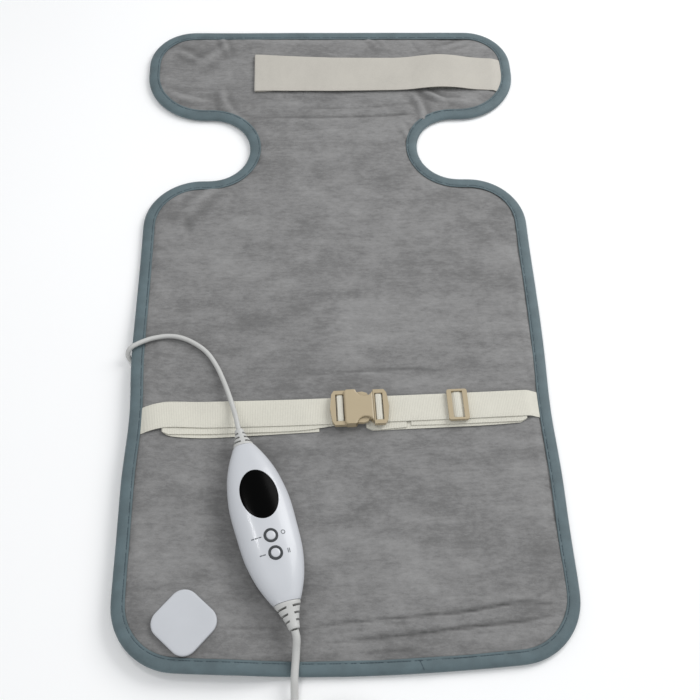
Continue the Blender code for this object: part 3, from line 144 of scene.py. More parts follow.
class Paint:
    """A Principled material with short calls for its procedural nodes."""

    def __init__(self, name, roughness=0.5, metallic=0.0, **values):
        self.made = bpy.data.materials.new(name)
        self.made.use_nodes = True
        self.tree = self.made.node_tree
        self.shader = self.tree.nodes["Principled BSDF"]
        self.shader.inputs["Roughness"].default_value = roughness
        self.shader.inputs["Metallic"].default_value = metallic
        for key, value in values.items():
            self.shader.inputs[key.replace("_", " ")].default_value = value

    def node(self, kind, settings=(), **links):
        """A new node: its settings and input values as (name, value) pairs, its links as input=socket."""
        made = self.tree.nodes.new(kind)
        for key, value in settings:
            if key in made.inputs:
                made.inputs[key].default_value = value
            else:
                setattr(made, key, value)
        for key, source in links.items():
            self.tree.links.new(source, made.inputs[key])
        return made

    def place(self, scale=(1, 1, 1), turn=(0, 0, 0), uv=False):
        coords = self.node("ShaderNodeTexCoord")
        settings = (("Scale", scale), ("Rotation", turn))
        source = coords.outputs["UV" if uv else "Object"]
        return self.node("ShaderNodeMapping", settings, Vector=source).outputs[0]

    def noise(self, size, detail=3.0, roughness=0.55, **where):
        settings = (("Scale", size), ("Detail", detail), ("Roughness", roughness))
        return self.node("ShaderNodeTexNoise", settings, Vector=self.place(**where)).outputs[0]

    def wave(self, size, distortion=0.0, direction="X", **where):
        settings = (("wave_type", "BANDS"), ("bands_direction", direction), ("Scale", size),
                    ("Distortion", distortion))
        return self.node("ShaderNodeTexWave", settings, Vector=self.place(**where)).outputs["Fac"]

    def maths(self, operation, first, second):
        """A Math node of two inputs, each a number or a socket."""
        made = self.tree.nodes.new("ShaderNodeMath")
        made.operation = operation
        for socket, value in zip(made.inputs, (first, second)):
            if isinstance(value, (int, float)):
                socket.default_value = value
            else:
                self.tree.links.new(value, socket)
        return made.outputs[0]

    def sum(self, *pairs):
        """The weighted sum of some values, as (weight, socket) pairs."""
        total = None
        for weight, socket in pairs:
            part = self.maths("MULTIPLY", socket, weight)
            total = part if total is None else self.maths("ADD", total, part)
        return total

    def colour(self, value, *stops):
        """Colours the surface by a value, through a ramp of (place, colour) stops."""
        made = self.tree.nodes.new("ShaderNodeValToRGB")
        ramp = made.color_ramp
        while len(ramp.elements) < len(stops):
            ramp.elements.new(1.0)
        for element, (place, colour) in zip(ramp.elements, stops):
            element.position = place
            element.color = (*colour, 1)
        self.tree.links.new(value, made.inputs[0])
        self.tree.links.new(made.outputs[0], self.shader.inputs["Base Color"])

    def rough(self, value, low, high):
        span = self.node("ShaderNodeMapRange", (("To Min", low), ("To Max", high)), Value=value)
        self.tree.links.new(span.outputs[0], self.shader.inputs["Roughness"])

    def bump(self, *heights):
        """Bump from (height socket, strength, distance in mm) triples, one on the other."""
        normal = None
        for height, strength, distance in heights:
            settings = (("Strength", strength), ("Distance", distance * MM))
            made = self.node("ShaderNodeBump", settings, Height=height)
            if normal:
                self.tree.links.new(normal, made.inputs["Normal"])
            normal = made.outputs[0]
        self.tree.links.new(normal, self.shader.inputs["Normal"])


def tones(colour, *shares):
    """A colour made darker or lighter, once for each share."""
    return [tuple(channel * share for channel in colour) for share in shares]


def floor_paint():
    paint = Paint("pale_floor", 0.75)
    grain = paint.noise(3.0)
    paint.colour(grain, (0.3, (0.97, 0.97, 0.97)), (0.7, (0.985, 0.985, 0.985)))
    return paint.made


def plush_paint():
    """Short plush: brushed one way and the other in patches, with painted shade down in the creases and beside
    the ridges, and a painted highlight on the ridges.
    """
    paint = Paint("plush_pile", 0.92, Sheen_Weight=0.18, Sheen_Roughness=0.5, Sheen_Tint=(0.8, 0.8, 0.82, 1))
    brushed = paint.noise(7.0, 6.0, 0.66, scale=(1.0, 2.0, 1))
    streaks = paint.noise(36.0, 6.0, 0.70, scale=(0.26, 2.2, 1))
    patches = paint.noise(50.0, 6.0, 0.70, scale=(0.75, 1.15, 1))
    tufts = paint.noise(300.0, 4.0, 0.7, scale=(0.5, 1.3, 1))
    pile = paint.noise(1500.0, 2.0, 0.6, scale=(0.6, 1.0, 1))
    mixed = paint.sum((0.24, brushed), (0.17, streaks), (0.29, patches), (0.20, tufts), (0.10, pile))
    # The groove attribute is painted shade and painted highlight: it darkens the pile down in the creases and
    # beside the ridges, and lightens the ridge tops.
    groove = paint.node("ShaderNodeAttribute", (("attribute_name", "groove"),)).outputs["Fac"]
    mixed = paint.maths("SUBTRACT", mixed, paint.maths("MULTIPLY", groove, 0.16))
    dark, low, mid, light = tones((0.218, 0.216, 0.214), 0.36, 0.76, 1.0, 1.32)
    paint.colour(mixed, (0.30, dark), (0.455, low), (0.515, mid), (0.62, light))
    paint.bump((streaks, 0.5, 1.2), (patches, 0.45, 1.0), (tufts, 0.5, 0.5), (pile, 0.4, 0.3))
    return paint.made


def tape_paint():
    paint = Paint("binding_tape", 0.62, Sheen_Weight=0.15, Sheen_Roughness=0.4)
    across = paint.wave(620.0, direction="X", uv=True)
    along = paint.wave(620.0, direction="Y", uv=True)
    weave = paint.maths("MULTIPLY", across, along)
    cloud = paint.noise(60.0, 3.0)
    mixed = paint.sum((0.35, weave), (0.65, cloud))
    low, mid, high = tones((0.105, 0.150, 0.166), 0.72, 1.0, 1.18)
    paint.colour(mixed, (0.25, low), (0.48, mid), (0.75, high))
    paint.bump((cloud, 0.2, 0.6), (weave, 0.45, 0.16))
    return paint.made


def thread_paint():
    paint = Paint("sewing_thread", 0.6)
    twist = paint.wave(900.0, 1.0, "DIAGONAL")
    paint.colour(twist, (0.2, (0.025, 0.042, 0.055)), (0.8, (0.05, 0.08, 0.10)))
    paint.bump((twist, 0.4, 0.08))
    return paint.made


def webbing_paint(name, colour, ribs, strength):
    """Woven tape with ribs across it; the map's U runs along the tape and V across it."""
    paint = Paint(name, 0.85, Sheen_Weight=0.1)
    rib = paint.wave(ribs, 0.4, "X", uv=True)
    warp = paint.wave(ribs * 1.7, 0.8, "Y", uv=True)
    cloud = paint.noise(30.0, 4.0)
    dust = paint.noise(700.0, 2.0)
    weave = paint.maths("MULTIPLY", rib, paint.sum((0.3, warp), (0.7, rib)))
    mixed = paint.sum((0.26, weave), (0.46, cloud), (0.28, dust))
    low, mid, high = tones(colour, 0.86, 1.0, 1.06)
    paint.colour(mixed, (0.2, low), (0.45, mid), (0.7, high))
    paint.bump((rib, strength, 0.30), (warp, strength * 0.5, 0.12), (dust, 0.25, 0.08))
    return paint.made


def plastic_paint(name, colour, roughness, texture=0.05, **values):
    """Moulded plastic: faint flow in its colour, a little grain and an uneven gloss."""
    paint = Paint(name, roughness, **values)
    flow = paint.noise(18.0, 3.0)
    grain = paint.noise(1400.0, 2.0)
    low, high = tones(colour, 0.97, 1.03)
    paint.colour(flow, (0.35, low), (0.65, high))
    paint.rough(grain, roughness * 0.85, min(roughness * 1.15, 1.0))
    paint.bump((grain, texture, 0.05))
    return paint.made


def metal_paint(name, colour, roughness):
    paint = Paint(name, roughness, 1.0)
    brush = paint.noise(260.0, 2.0, scale=(0.15, 1, 1))
    low, high = tones(colour, 0.9, 1.06)
    paint.colour(brush, (0.35, low), (0.65, high))
    paint.rough(brush, roughness * 0.7, roughness * 1.3)
    return paint.made


def board_paint():
    paint = Paint("board_laminate", 0.4)
    tracks = paint.wave(90.0, 6.0, "DIAGONAL")
    paint.colour(tracks, (0.45, (0.01, 0.10, 0.04)), (0.55, (0.02, 0.17, 0.07)))
    paint.bump((tracks, 0.2, 0.05))
    return paint.made


def fibre_paint(name, colour):
    paint = Paint(name, 0.95)
    fibres = paint.noise(500.0, 4.0)
    low, high = tones(colour, 0.85, 1.05)
    paint.colour(fibres, (0.3, low), (0.7, high))
    paint.bump((fibres, 0.6, 0.3))
    return paint.made


PLUSH = plush_paint()
TAPE = tape_paint()
THREAD = thread_paint()
BELT = webbing_paint("belt_webbing", (0.655, 0.635, 0.555), 215.0, 0.5)
ELASTIC = webbing_paint("neck_elastic", (0.50, 0.475, 0.425), 260.0, 0.45)
SHELL = plastic_paint("shell_gloss", (0.56, 0.575, 0.605), 0.36, 0.02, Coat_Weight=0.22, Coat_Roughness=0.10)
COVER = plastic_paint("cover_satin", (0.545, 0.56, 0.59), 0.6, 0.05)
GLASS = plastic_paint("window_black", (0.0015, 0.0015, 0.0015), 0.22, 0.0, Specular_IOR_Level=0.03)
RING = plastic_paint("ring_grey", (0.045, 0.050, 0.054), 0.5, Specular_IOR_Level=0.3)
BOOT = plastic_paint("cord_plastic", (0.53, 0.53, 0.515), 0.45, 0.12)
BUCKLE = plastic_paint("buckle_tan", (0.43, 0.35, 0.225), 0.42, 0.12)
PRINT = plastic_paint("grey_print", (0.10, 0.11, 0.12), 0.6)
DARK = plastic_paint("component_black", (0.03, 0.03, 0.03), 0.5)
STEEL = metal_paint("plated_steel", (0.6, 0.6, 0.6), 0.3)
NICKEL = metal_paint("plug_pin_metal", (0.70, 0.67, 0.60), 0.22)
WIRE = plastic_paint("wire_jacket", (0.55, 0.12, 0.10), 0.5)
BOARD = board_paint()
WADDING = fibre_paint("wadding_fibre", (0.8, 0.8, 0.78))
CARRIER = fibre_paint("carrier_cloth", (0.6, 0.58, 0.52))
# The hook tape is painted dark grey as painted shadow under the neck strap's bump.
HOOK_TAPE_PAINTED_SHADOW = fibre_paint("hook_tape", (0.16, 0.16, 0.15))


# -------- mesh helpers

def piece(name, bm, paint, body="root", smooth=True, sharp=None):
    """A new piece from a bmesh, with its material, riding on a body."""
    bmesh.ops.recalc_face_normals(bm, faces=bm.faces)
    made = mesh_from(name, bm)
    if smooth:
        made.data.shade_smooth()
    if sharp:
        made.data.set_sharp_from_angle(angle=radians(sharp))
    made.data.materials.append(paint)
    if body:
        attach(made, body)
    return made


def skin(rings, cyclic=False, lengths=None):
    """Bridges rings of points; with lengths, its map's U is the length and V the way round."""
    bm = bmesh.new()
    rows = [[bm.verts.new(point) for point in ring] for ring in rings]
    count = len(rows[0])
    layer = bm.loops.layers.uv.new("map") if lengths else None
    around = [0.0]
    for a, b in zip(rings[0], rings[0][1:] + rings[0][:1]):
        around.append(around[-1] + (Vector(b) - Vector(a)).length)
    pairs = list(zip(rows, rows[1:] + rows[:1])) if cyclic else list(zip(rows, rows[1:]))
    for k, (near, far) in enumerate(pairs):
        for i in range(count):
            face = bm.faces.new((near[i], near[(i + 1) % count], far[(i + 1) % count], far[i]))
            if layer:
                for loop, (u, v) in zip(face.loops, ((k, i), (k, i + 1), (k + 1, i + 1), (k + 1, i))):
                    loop[layer].uv = (lengths[u], around[v])
    if not cyclic:
        bm.faces.new(rows[0])
        bm.faces.new(rows[-1])
    return bm


def arc(centre, radius, start, end, steps):
    """Points of an arc, from one angle to another in degrees."""
    turns = [radians(start + (end - start) * i / steps) for i in range(steps + 1)]
    return [(centre[0] + radius * cos(a), centre[1] + radius * sin(a)) for a in turns]


def smooth_curve(points, steps):
    """A smooth curve through all the points, as steps points for each stretch."""
    points = [Vector(p) for p in points]
    held = [2 * points[0] - points[1], *points, 2 * points[-1] - points[-2]]
    made = []
    for a, b, c, d in zip(held, held[1:], held[2:], held[3:]):
        for i in range(steps):
            t = i / steps
            made.append(0.5 * (2 * b + (c - a) * t + (2 * a - 5 * b + 4 * c - d) * t * t
                               + (3 * b - a - 3 * c + d) * t ** 3))
    return made + [points[-1]]


def rise(share):
    """A smooth step from 0 to 1, as the share goes from 0 to 1."""
    share = min(max(share, 0.0), 1.0)
    return share * share * (3 - 2 * share)


def drift(*place):
    """Smooth noise at a place, from -1 to 1."""
    return noise.noise(Vector(place))


def lift(x, y):
    """How high the raised lower left corner holds the pad up at a point."""
    along = (FOLD_END - FOLD_POINT).normalized()
    across = (Vector((x, y)) - FOLD_POINT).dot(Vector((along.y, -along.x)))
    return LIFT * rise(across / LIFT_RAMP)


def bevel(part, width, segments, angle):
    edges = part.modifiers.new("soft_edges", "BEVEL")
    edges.width = width
    edges.segments = segments
    edges.limit_method = "ANGLE"
    edges.angle_limit = radians(angle)
    edges.harden_normals = False


def cut(part, cutter):
    """Cuts a piece and removes the cutter."""
    change = part.modifiers.new("cut", "BOOLEAN")
    change.operation = "DIFFERENCE"
    change.solver = "EXACT"
    change.object = cutter
    bpy.context.view_layer.update()
    seen = part.evaluated_get(bpy.context.evaluated_depsgraph_get())
    data = bpy.data.meshes.new_from_object(seen)
    part.modifiers.clear()
    part.data = data
    data.shade_smooth()
    data.set_sharp_from_angle(angle=radians(40))
    bpy.data.objects.remove(cutter)


def prism(outline, low, high, place):
    """A cutter: an outline carried from one height to another."""
    bm = skin([[(x, y, z) for x, y in outline] for z in (low, high)])
    bm.transform(place)
    bmesh.ops.recalc_face_normals(bm, faces=bm.faces)
    return mesh_from("cutter", bm)


# -------- outline of the pad

def pad_outline(spacing):
    """The pad's edge, its inward directions and its running length, counter-clockwise from the hem's middle."""
    bow = 1.9                       # radius of the hem's shallow curve
    hem_corner, shoulder, notch, collar_low, collar_top = 0.056, 0.055, 0.0405, 0.063, 0.048
    bow_centre = (0, HEM + bow)
    corner = (SIDE - hem_corner, bow_centre[1] - sqrt((bow - hem_corner) ** 2 - (SIDE - hem_corner) ** 2))
    meet = degrees(atan2(corner[1] - bow_centre[1], corner[0]))
    right = arc(bow_centre, bow, -90, meet, 12)
    right += arc(corner, hem_corner, meet, 0, 20)[1:]
    right += arc((SIDE - shoulder, SHOULDER_Y - shoulder), shoulder, 0, 90, 20)
    right += arc((NOTCH_X, (COLLAR_Y + SHOULDER_Y) / 2), notch, 270, 90, 32)
    right += arc((COLLAR_HALF - collar_low, COLLAR_Y + collar_low), collar_low, -90, 0, 20)
    right += arc((COLLAR_HALF - collar_top, TOP - collar_top), collar_top, 0, 90, 20) + [(0, TOP)]
    whole = np.array(right + [(-x, y) for x, y in reversed(right[1:-1])] + [right[0]])
    run = np.concatenate([[0], np.cumsum(np.linalg.norm(np.diff(whole, axis=0), axis=1))])
    even = np.linspace(0, run[-1], int(run[-1] / spacing), endpoint=False)
    points = np.stack([np.interp(even, run, whole[:, k]) for k in (0, 1)], axis=1)
    for _ in range(2):
        points = 0.25 * np.roll(points, 1, axis=0) + 0.5 * points + 0.25 * np.roll(points, -1, axis=0)
    ways = np.roll(points, -1, axis=0) - np.roll(points, 1, axis=0)
    ways /= np.linalg.norm(ways, axis=1)[:, None]
    inward = np.stack([-ways[:, 1], ways[:, 0]], axis=1)
    wander = np.array([drift(x * 11, y * 11, 3.1) for x, y in points]) * 0.9 * MM
    by_belt = np.exp(-(((points[:, 1] - HEM - 0.222) / 0.045) ** 2)) * (np.abs(points[:, 0]) > 0.15)
    points = points + inward * (wander + 2.6 * MM * by_belt)[:, None].clip(0.0, None)
    return points, inward, even


EDGE, INWARD, RUN = pad_outline(2.4 * MM)


def nearest_edge(places):
    """For each place: its distance to the pad's edge, the nearest edge point's index, and if it is inside."""
    distance = np.empty(len(places))
    index = np.empty(len(places), int)
    for start in range(0, len(places), 4000):
        block = places[start:start + 4000]
        square = ((block[:, None, :] - EDGE[None, :, :]) ** 2).sum(axis=2)
        index[start:start + 4000] = square.argmin(axis=1)
        distance[start:start + 4000] = np.sqrt(square.min(axis=1))
    inside = ((places - EDGE[index]) * INWARD[index]).sum(axis=1) > 0
    return distance, index, inside


def seam_x(y, inset):
    """Where a strap goes under the binding on the collar's right side: x at a height y."""
    line = EDGE + INWARD * inset
    line = line[(line[:, 0] > 0.1) & (line[:, 1] > COLLAR_Y + 0.012)]
    order = line[:, 1].argsort()
    return float(np.interp(y, line[order, 1], line[order, 0]))


CREASES = [                         # each: its points, depth (below 0 a ridge) and half width, in mm
    ([(-90, 222.5), (-20, 221), (60, 222.8), (92, 225)], 0.9, 1.7),
    ([(-70, 235), (20, 233.8), (88, 240)], 0.6, 1.6),
    ([(-36, -308.5), (20, -303.5), (90, -299.5), (135, -293.5), (172, -295.5)], 1.3, 1.5),
    ([(-20, -321), (40, -316.5), (100, -311), (130, -309), (165, -304)], 1.4, 1.6),
    ([(-104, -308.5), (-60, -308.5)], 0.5, 1.2),
    ([(-35, -83.5), (45, -79), (90, -80)], 0.7, 1.6),
    ([(-150, 95), (-118, 135)], -1.2, 5),
    ([(-140, 60), (-150, 100)], 0.9, 4),
    ([(122, 238), (104, 254), (96, 268)], -1.6, 3.2),
    ([(146, 241), (116, 246), (98, 254)], -1.3, 2.8),
    ([(97, 212), (94, 236), (86, 254)], -1.5, 3.2),
    ([(86, 186), (70, 212)], -1, 3),
    ([(-90, 214), (-112, 236), (-118, 262)], -1.4, 4),
    ([(-182, 262), (-160, 250), (-125, 243)], -1.2, 3.5),
    ([(-170, 318), (-140, 300)], -1.3, 3.5),
    ([(-120, 338), (-112, 312)], -1.2, 3),
    ([(40, 338), (52, 320)], -1, 2.6),
    ([(150, 330), (120, 318)], -1.2, 3),
    ([(-86, 170), (-60, 150)], 0.6, 4),
    ([(100, 312), (90, 332)], 1, 3),
    ([(-45, 315), (-30, 330)], 0.9, 3),
    ([(-150, 290), (-110, 325)], -0.9, 5),
    ([(-160, 260), (-100, 262)], 0.8, 3),
    ([(168, -60), (178, -140), (172, -230)], 0.7, 3),
    ([(150, 85), (168, 60)], 0.8, 3.5),
    ([(-172, -20), (-166, -90)], 0.6, 3),
    ([(10, -330), (60, -327)], 0.6, 2),
    ([(-70, 40), (0, 52), (60, 46)], 0.35, 3),
    ([(-80, -10), (30, -20), (110, -10)], 0.35, 3),
    ([(20, -180), (90, -172), (150, -180)], 0.4, 3),
    ([(10, -236), (100, -243)], 0.35, 3),
]


def crease_depth(places):
    """What all creases do at each place: the height they add, and the painted shade and painted highlight they
    put into the pile's colour.
    """
    depth, groove = np.zeros(len(places)), np.zeros(len(places))
    for points, deep, width in CREASES:
        line = np.array([tuple(p) for p in smooth_curve([(x * MM, y * MM, 0) for x, y in points], 40)])[:, :2]
        square = ((places[:, None, :] - line[None, :, :]) ** 2).sum(axis=2)
        share = square.argmin(axis=1) / (len(line) - 1)
        fade = np.sin(pi * np.clip(share, 0.02, 0.98)) ** 0.5
        away = np.sqrt(square.min(axis=1)) / (width * MM)
        depth += fade * deep * MM * (-np.exp(-(away ** 2)) + 0.45 * np.exp(-((away - 2.2) ** 2)))
        # Painted shade down in a crease, full in the narrow ones and weaker in the wide ones; on a ridge a
        # painted highlight along its top and painted shade beside it.
        if deep > 0:
            groove += fade * deep * np.exp(-((away * 1.3) ** 2)) * (1.0 if width < 2.2 else 0.3)
        else:
            groove += fade * deep * (0.30 * np.exp(-(away ** 2)) - 0.30 * np.exp(-((away - 1.9) ** 2)))
    return depth, groove


def resting(x, y):
    """From 0 to 1, how surely something lies on the pad at a place, so that the pile is pressed flat."""
    local = WAIST.inverted() @ Vector((x, y, 0))
    fade = 7 * MM
    waist = rise((0.022 - abs(local.y + 0.003)) / fade)
    neck = rise((0.030 - abs(y - NECK_Y)) / fade) * rise((x + 0.09) / 0.01)
    cover = rise((0.030 - (Vector((x, y, 0)) - CONNECTOR).length) / 0.006)
    there = HANDSET.inverted() @ Vector((x, y, 20 * MM))
    handset = rise((1.25 - sqrt((there.x / 0.026) ** 2 + (there.y / 0.072) ** 2)) / 0.3)
    return max(waist, neck, cover, handset)


def cloth_height(face, x, y, distance, run, fold):
    """How high the cloth lies, from its place, its distance to the edge and the run along the edge there."""
    margin = rise((distance - 9 * MM) / (11 * MM))
    past_tape = rise((distance - TAPE_WIDTH) / (4 * MM))
    swell = 0.9 * drift(x * 13, y * 19, 1.7) + 0.55 * drift(x * 26, y * 80, 5.2)
    reach = 0.027 + 0.021 * drift(run * 30, 4.3, 1.8)
    pucker = (1.9 * drift(run * 58, 0.3, 8.8) + 0.35) * (1 - rise((distance - 12 * MM) / reach)) * past_tape
    if face < 0:
        return 1.45 * MM * (1 - margin) + max(0.25 * swell + pucker * 0.4, 0) * MM + lift(x, y)
    press = resting(x, y)
    free = (swell + pucker) * MM + fold
    free = min(free, 0.15 * MM) * press + free * (1 - press)
    under_tape, wadding = 4.9 * MM, 6.1 * MM
    level = under_tape + (PLUSH_TOP - under_tape) * margin + free
    return max(level, wadding * past_tape) + 0.10 * MM * drift(x * 260, y * 260, 0) + lift(x, y)


def cover_cloth(name, face, spacing, paint):
    """The plush face (face = 1) or the back cloth (face = -1), as a dense cloth with creases."""
    columns = int(2 * COLLAR_HALF / spacing) + 1
    rows = int((TOP - HEM) / spacing) + 1
    grid = np.array([(-COLLAR_HALF + i * spacing, HEM + j * spacing)
                     for j in range(rows) for i in range(columns)])
    distance, index, inside = nearest_edge(grid)
    hole, tuck, spare = 13.6 * MM, 5.0 * MM, 0.3 * MM
    from_hole = np.linalg.norm(grid - np.array(CONNECTOR.xy), axis=1)
    kept = np.nonzero(inside & (distance > tuck + spare) & (from_hole > hole + spare))[0]
    folds, groove = crease_depth(grid)
    bm = bmesh.new()
    # The groove layer carries the creases' painted shade and painted highlight to the plush paint; the back
    # cloth gets none.
    layer = bm.verts.layers.float.new("groove")
    verts = {}
    for k in kept:
        height = cloth_height(face, *grid[k], distance[k], RUN[index[k]], folds[k])
        verts[k] = bm.verts.new((*grid[k], height))
        verts[k][layer] = groove[k] if face > 0 else 0.0
    for j in range(rows - 1):
        for i in range(columns - 1):
            first = j * columns + i
            corners = [first, first + 1, first + columns + 1, first + columns]
            if all(corner in verts for corner in corners):
                bm.faces.new([verts[corner] for corner in corners])
    bmesh.ops.delete(bm, geom=[v for v in bm.verts if not v.link_faces], context="VERTS")
    fit_rim(bm, hole, tuck)
    for made_face in bm.faces:
        if made_face.normal.z * face < 0:
            made_face.normal_flip()
    made = mesh_from(name, bm)
    made.data.shade_smooth()
    made.data.materials.append(paint)
    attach(made, "root")
    thick = made.modifiers.new("cloth_thickness", "SOLIDIFY")
    thick.thickness = 1.25 * MM if face > 0 else 0.9 * MM
    thick.offset = -1
    return made


def fit_rim(bm, hole, tuck):
    """Moves a cloth's stepped rim onto the smooth outline, and round the connector's hole."""
    rim = {v for edge in bm.edges if edge.is_boundary for v in edge.verts}
    centre = Vector(CONNECTOR.xy)
    for v in rim:
        from_centre = v.co.xy - centre
        if from_centre.length < 0.022:
            v.co.xy = centre + from_centre.normalized() * hole
        else:
            near = nearest_edge(np.array([v.co.xy]))[1][0]
            v.co.xy = EDGE[near] + INWARD[near] * tuck


TAPE_JOIN = 0.0545                  # where the binding's two ends meet in the hem


def binding():
    """The tape folded round the edge: a soft C-shaped section swept round the pad."""
    outer = [(11.5, 5.55), (11.45, 6.05), (10.9, 6.35), (10.1, 6.32), (9.5, 6.05), (8.9, 6.38), (7.6, 6.58),
             (5.6, 6.62), (3.8, 6.45), (2.2, 6.0), (0.9, 5.1), (0.2, 4.2)]
    middle = 3.3
    bottom = [(inset, 2 * middle - min(z, 6.4)) for inset, z in reversed(outer)]
    inner = [(11.4, 1.15), (3.1, 1.15), (1.8, 1.8), (1.1, middle), (1.8, 4.8), (3.1, 5.4), (11.4, 5.5)]
    section = outer + [(0.0, middle)] + bottom + inner
    rings = []
    seam = Vector((TAPE_JOIN, HEM))
    for k in range(len(EDGE)):
        ring = []
        for inset, z in section:
            wobble = drift(RUN[k] * 42, z * 0.2, 2.2) * 0.14
            swell = drift(RUN[k] * 16, 0.5, 6.1) * 0.18
            wide = inset + (drift(RUN[k] * 24, 0.1, 4.4) * 0.3 if inset > 8 else 0)     # the inner edge wanders
            x, y = EDGE[k] + INWARD[k] * wide * MM
            lap = 0.0
            if z > middle and inset > 0.5:
                slant = x - seam.x - 0.9 * (y - seam.y)
                lap = 0.38 * rise((slant + 0.4 * MM) / (0.8 * MM)) * (1 - rise((slant - 12 * MM) / (2 * MM)))
            high = z + (wobble + swell + lap if z > middle else 0)
            ring.append((x, y, max(high, 0.2) * MM + lift(x, y)))
        rings.append(ring)
    lengths = list(RUN) + [RUN[-1] + RUN[1]]
    tape = piece("binding_tape", skin(rings, cyclic=True, lengths=lengths), TAPE)
    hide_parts("edge_binding")
    return tape


def stitches():
    """Lockstitches along the binding's inner edge, and the slanting thread of the tape's join in the hem."""
    bm = bmesh.new()
    inset, stitch, pitch, radius = 9.5 * MM, 2.6 * MM, 3.1 * MM, 0.33 * MM
    threads = []
    for i in range(int(RUN[-1] / pitch)):
        ends = []
        for place in (i * pitch, i * pitch + stitch):
            k = min(int(round(place / RUN[1])), len(EDGE) - 1)
            x, y = EDGE[k] + INWARD[k] * inset
            ends.append(Vector((x, y, 6.22 * MM + lift(x, y))))
        threads.append(ends)
    ups = (0.0025, 0.0055, 0.0085, 0.011)
    join = [Vector((TAPE_JOIN + 0.38 * (0.011 - up), HEM + up, 6.55 * MM)) for up in ups]
    threads += list(zip(join, join[1:]))
    for ends in threads:
        along = ends[1] - ends[0]
        if along.length < 1 * MM:
            continue
        turn = along.to_track_quat("Z", "Y").to_matrix().to_4x4()
        middle = Matrix.Translation((ends[0] + ends[1]) / 2) @ turn
        sphere = bmesh.ops.create_uvsphere(bm, u_segments=6, v_segments=5, radius=radius)["verts"]
        reach = along.length / 2 / radius
        bmesh.ops.transform(bm, matrix=middle @ Matrix.Diagonal((1, 1, reach, 1)), verts=sphere)
    piece("binding_stitches", bm, THREAD)


# -------- straps

def rounded_path(points):
    """Cuts the corners of a path twice, keeping its two ends."""
    path = [Vector(p) for p in points]
    for _ in range(2):
        cut_path = [path[0]]
        for a, b in zip(path, path[1:]):
            cut_path += [a.lerp(b, 0.25), a.lerp(b, 0.75)]
        path = cut_path + [path[-1]]
    return path


def spaced(path, step):
    """Adds points to a path, so that no stretch is longer than a step."""
    made = [path[0]]
    for a, b in zip(path, path[1:]):
        parts = max(1, int((b - a).length / step))
        made += [a.lerp(b, i / parts) for i in range(1, parts + 1)]
    return made


def band(name, points, width, thickness, paint, place=None, body="root", step=2.5 * MM, shape=None, columns=10):
    """A flat strap along a path, with its width along Y, soft edges and a slight waviness.

    shape(share, point) gives the width's factor and a sideways shift along the path.
    """
    path = spaced(rounded_path(points), step)
    lengths = [0.0]
    for a, b in zip(path, path[1:]):
        lengths.append(lengths[-1] + (b - a).length)
    rings = []
    for k, point in enumerate(path):
        before, after = path[max(k - 1, 0)], path[min(k + 1, len(path) - 1)]
        way = Vector((after.x - before.x, 0, after.z - before.z)).normalized()
        up = Vector((-way.z, 0, way.x))
        factor, shift = shape(lengths[k] / lengths[-1], point) if shape else (1.0, 0.0)
        half = width / 2 * factor
        top, low = [], []
        for j in range(columns + 1):
            share = 2 * j / columns - 1
            side = copysign(abs(share) ** 0.8, share) * half
            edge = thickness / 2 * (0.45 if abs(share) == 1 else 1.0)
            curl = 0.12 * MM * drift(lengths[k] * 30, side * 60, 7.7)
            centre = point + Vector((0, side + shift, 0)) + up * curl
            top.append(centre + up * edge)
            low.append(centre - up * edge)
        rings.append(top + list(reversed(low)))
    if place:
        rings = [[place @ corner for corner in ring] for ring in rings]
    rings = [[Vector((c.x, c.y, c.z + lift(c.x, c.y))) for c in ring] for ring in rings]
    return piece(name, skin(rings, lengths=lengths), paint, body, sharp=80)


OUTER_BAR, INNER_BAR = 0.0196, 0.0147       # sides of the buckle's bars, from its middle
WRAP_TOP = 15.9 * MM                        # where the belt passes over a bar


def belt(name, points, body="root", **settings):
    """A band of the waist belt's webbing, placed along the belt."""
    return band(name, points, 0.025, 1.0 * MM, BELT, WAIST, body, **settings)


def over_bar(side, foot):
    """The belt's path over the buckle's left (side = -1) or right bar, from the top layer to a foot inside."""
    outer, inner, corner = BUCKLE_X + side * OUTER_BAR, BUCKLE_X + side * INNER_BAR, 0.6 * MM
    path = [(outer, 0, LAYERS[2] + 1.4 * MM), (outer, 0, WRAP_TOP - corner)]
    path += [(outer - side * corner, 0, WRAP_TOP), (inner + side * corner, 0, WRAP_TOP)]
    return path + [(inner, 0, WRAP_TOP - corner), (inner, 0, foot)]


def waist_left():
    """From under the binding to the buckle, round the socket's bar, back under itself and folded again."""
    one, two, three = LAYERS
    outer, inner = BUCKLE_X - OUTER_BAR, BUCKLE_X - INNER_BAR
    slip, end, middle = -5.6 * MM, -0.1570, (one + two) / 2     # the tail's sideways slip and its fold
    path = [(-SIDE + 0.0108, -0.0034, 4.6 * MM), (-SIDE + 0.0140, -0.0030, 5.5 * MM)]
    path += [(-SIDE + 0.0190, -0.0020, one + 0.2 * MM), (end - 0.006, -0.0002, two + 0.9 * MM)]
    path += [(end + 0.005, 0.0020, three + 0.3 * MM), (-0.12, 0.0014, three)]
    path += [(-0.06, 0.0002, three), (outer - 0.008, 0, three)]
    path += [(outer - 0.5 * MM, 0, three + 0.3 * MM)] + over_bar(-1, two + 1.2 * MM)
    path += [(inner - 0.9 * MM, 0, two), (inner - 0.012, slip / 3, two)]
    path += [(-0.040, slip * 0.9, two), (-0.100, slip * 0.75, two), (end + 0.008, slip * 0.8, two)]
    path += [(x, slip, z) for x, z in arc((end, middle), two - middle, 90, 270, 6)]
    path += [(end + 0.020, slip * 1.35, one), (-0.100, slip * 1.30, one), (-0.0213, slip * 1.05, one)]

    def shape(share, point):
        """The tail is rounded off where it is folded."""
        fold = rise((end + 0.006 - point.x) / 0.010) if point.z < two + 0.4 * MM and share > 0.5 else 0.0
        return 1.0 - 0.20 * fold, 0.0020 * fold

    strap = belt("waist_strap_left_webbing", path, shape=shape)
    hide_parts("waist_strap_left")


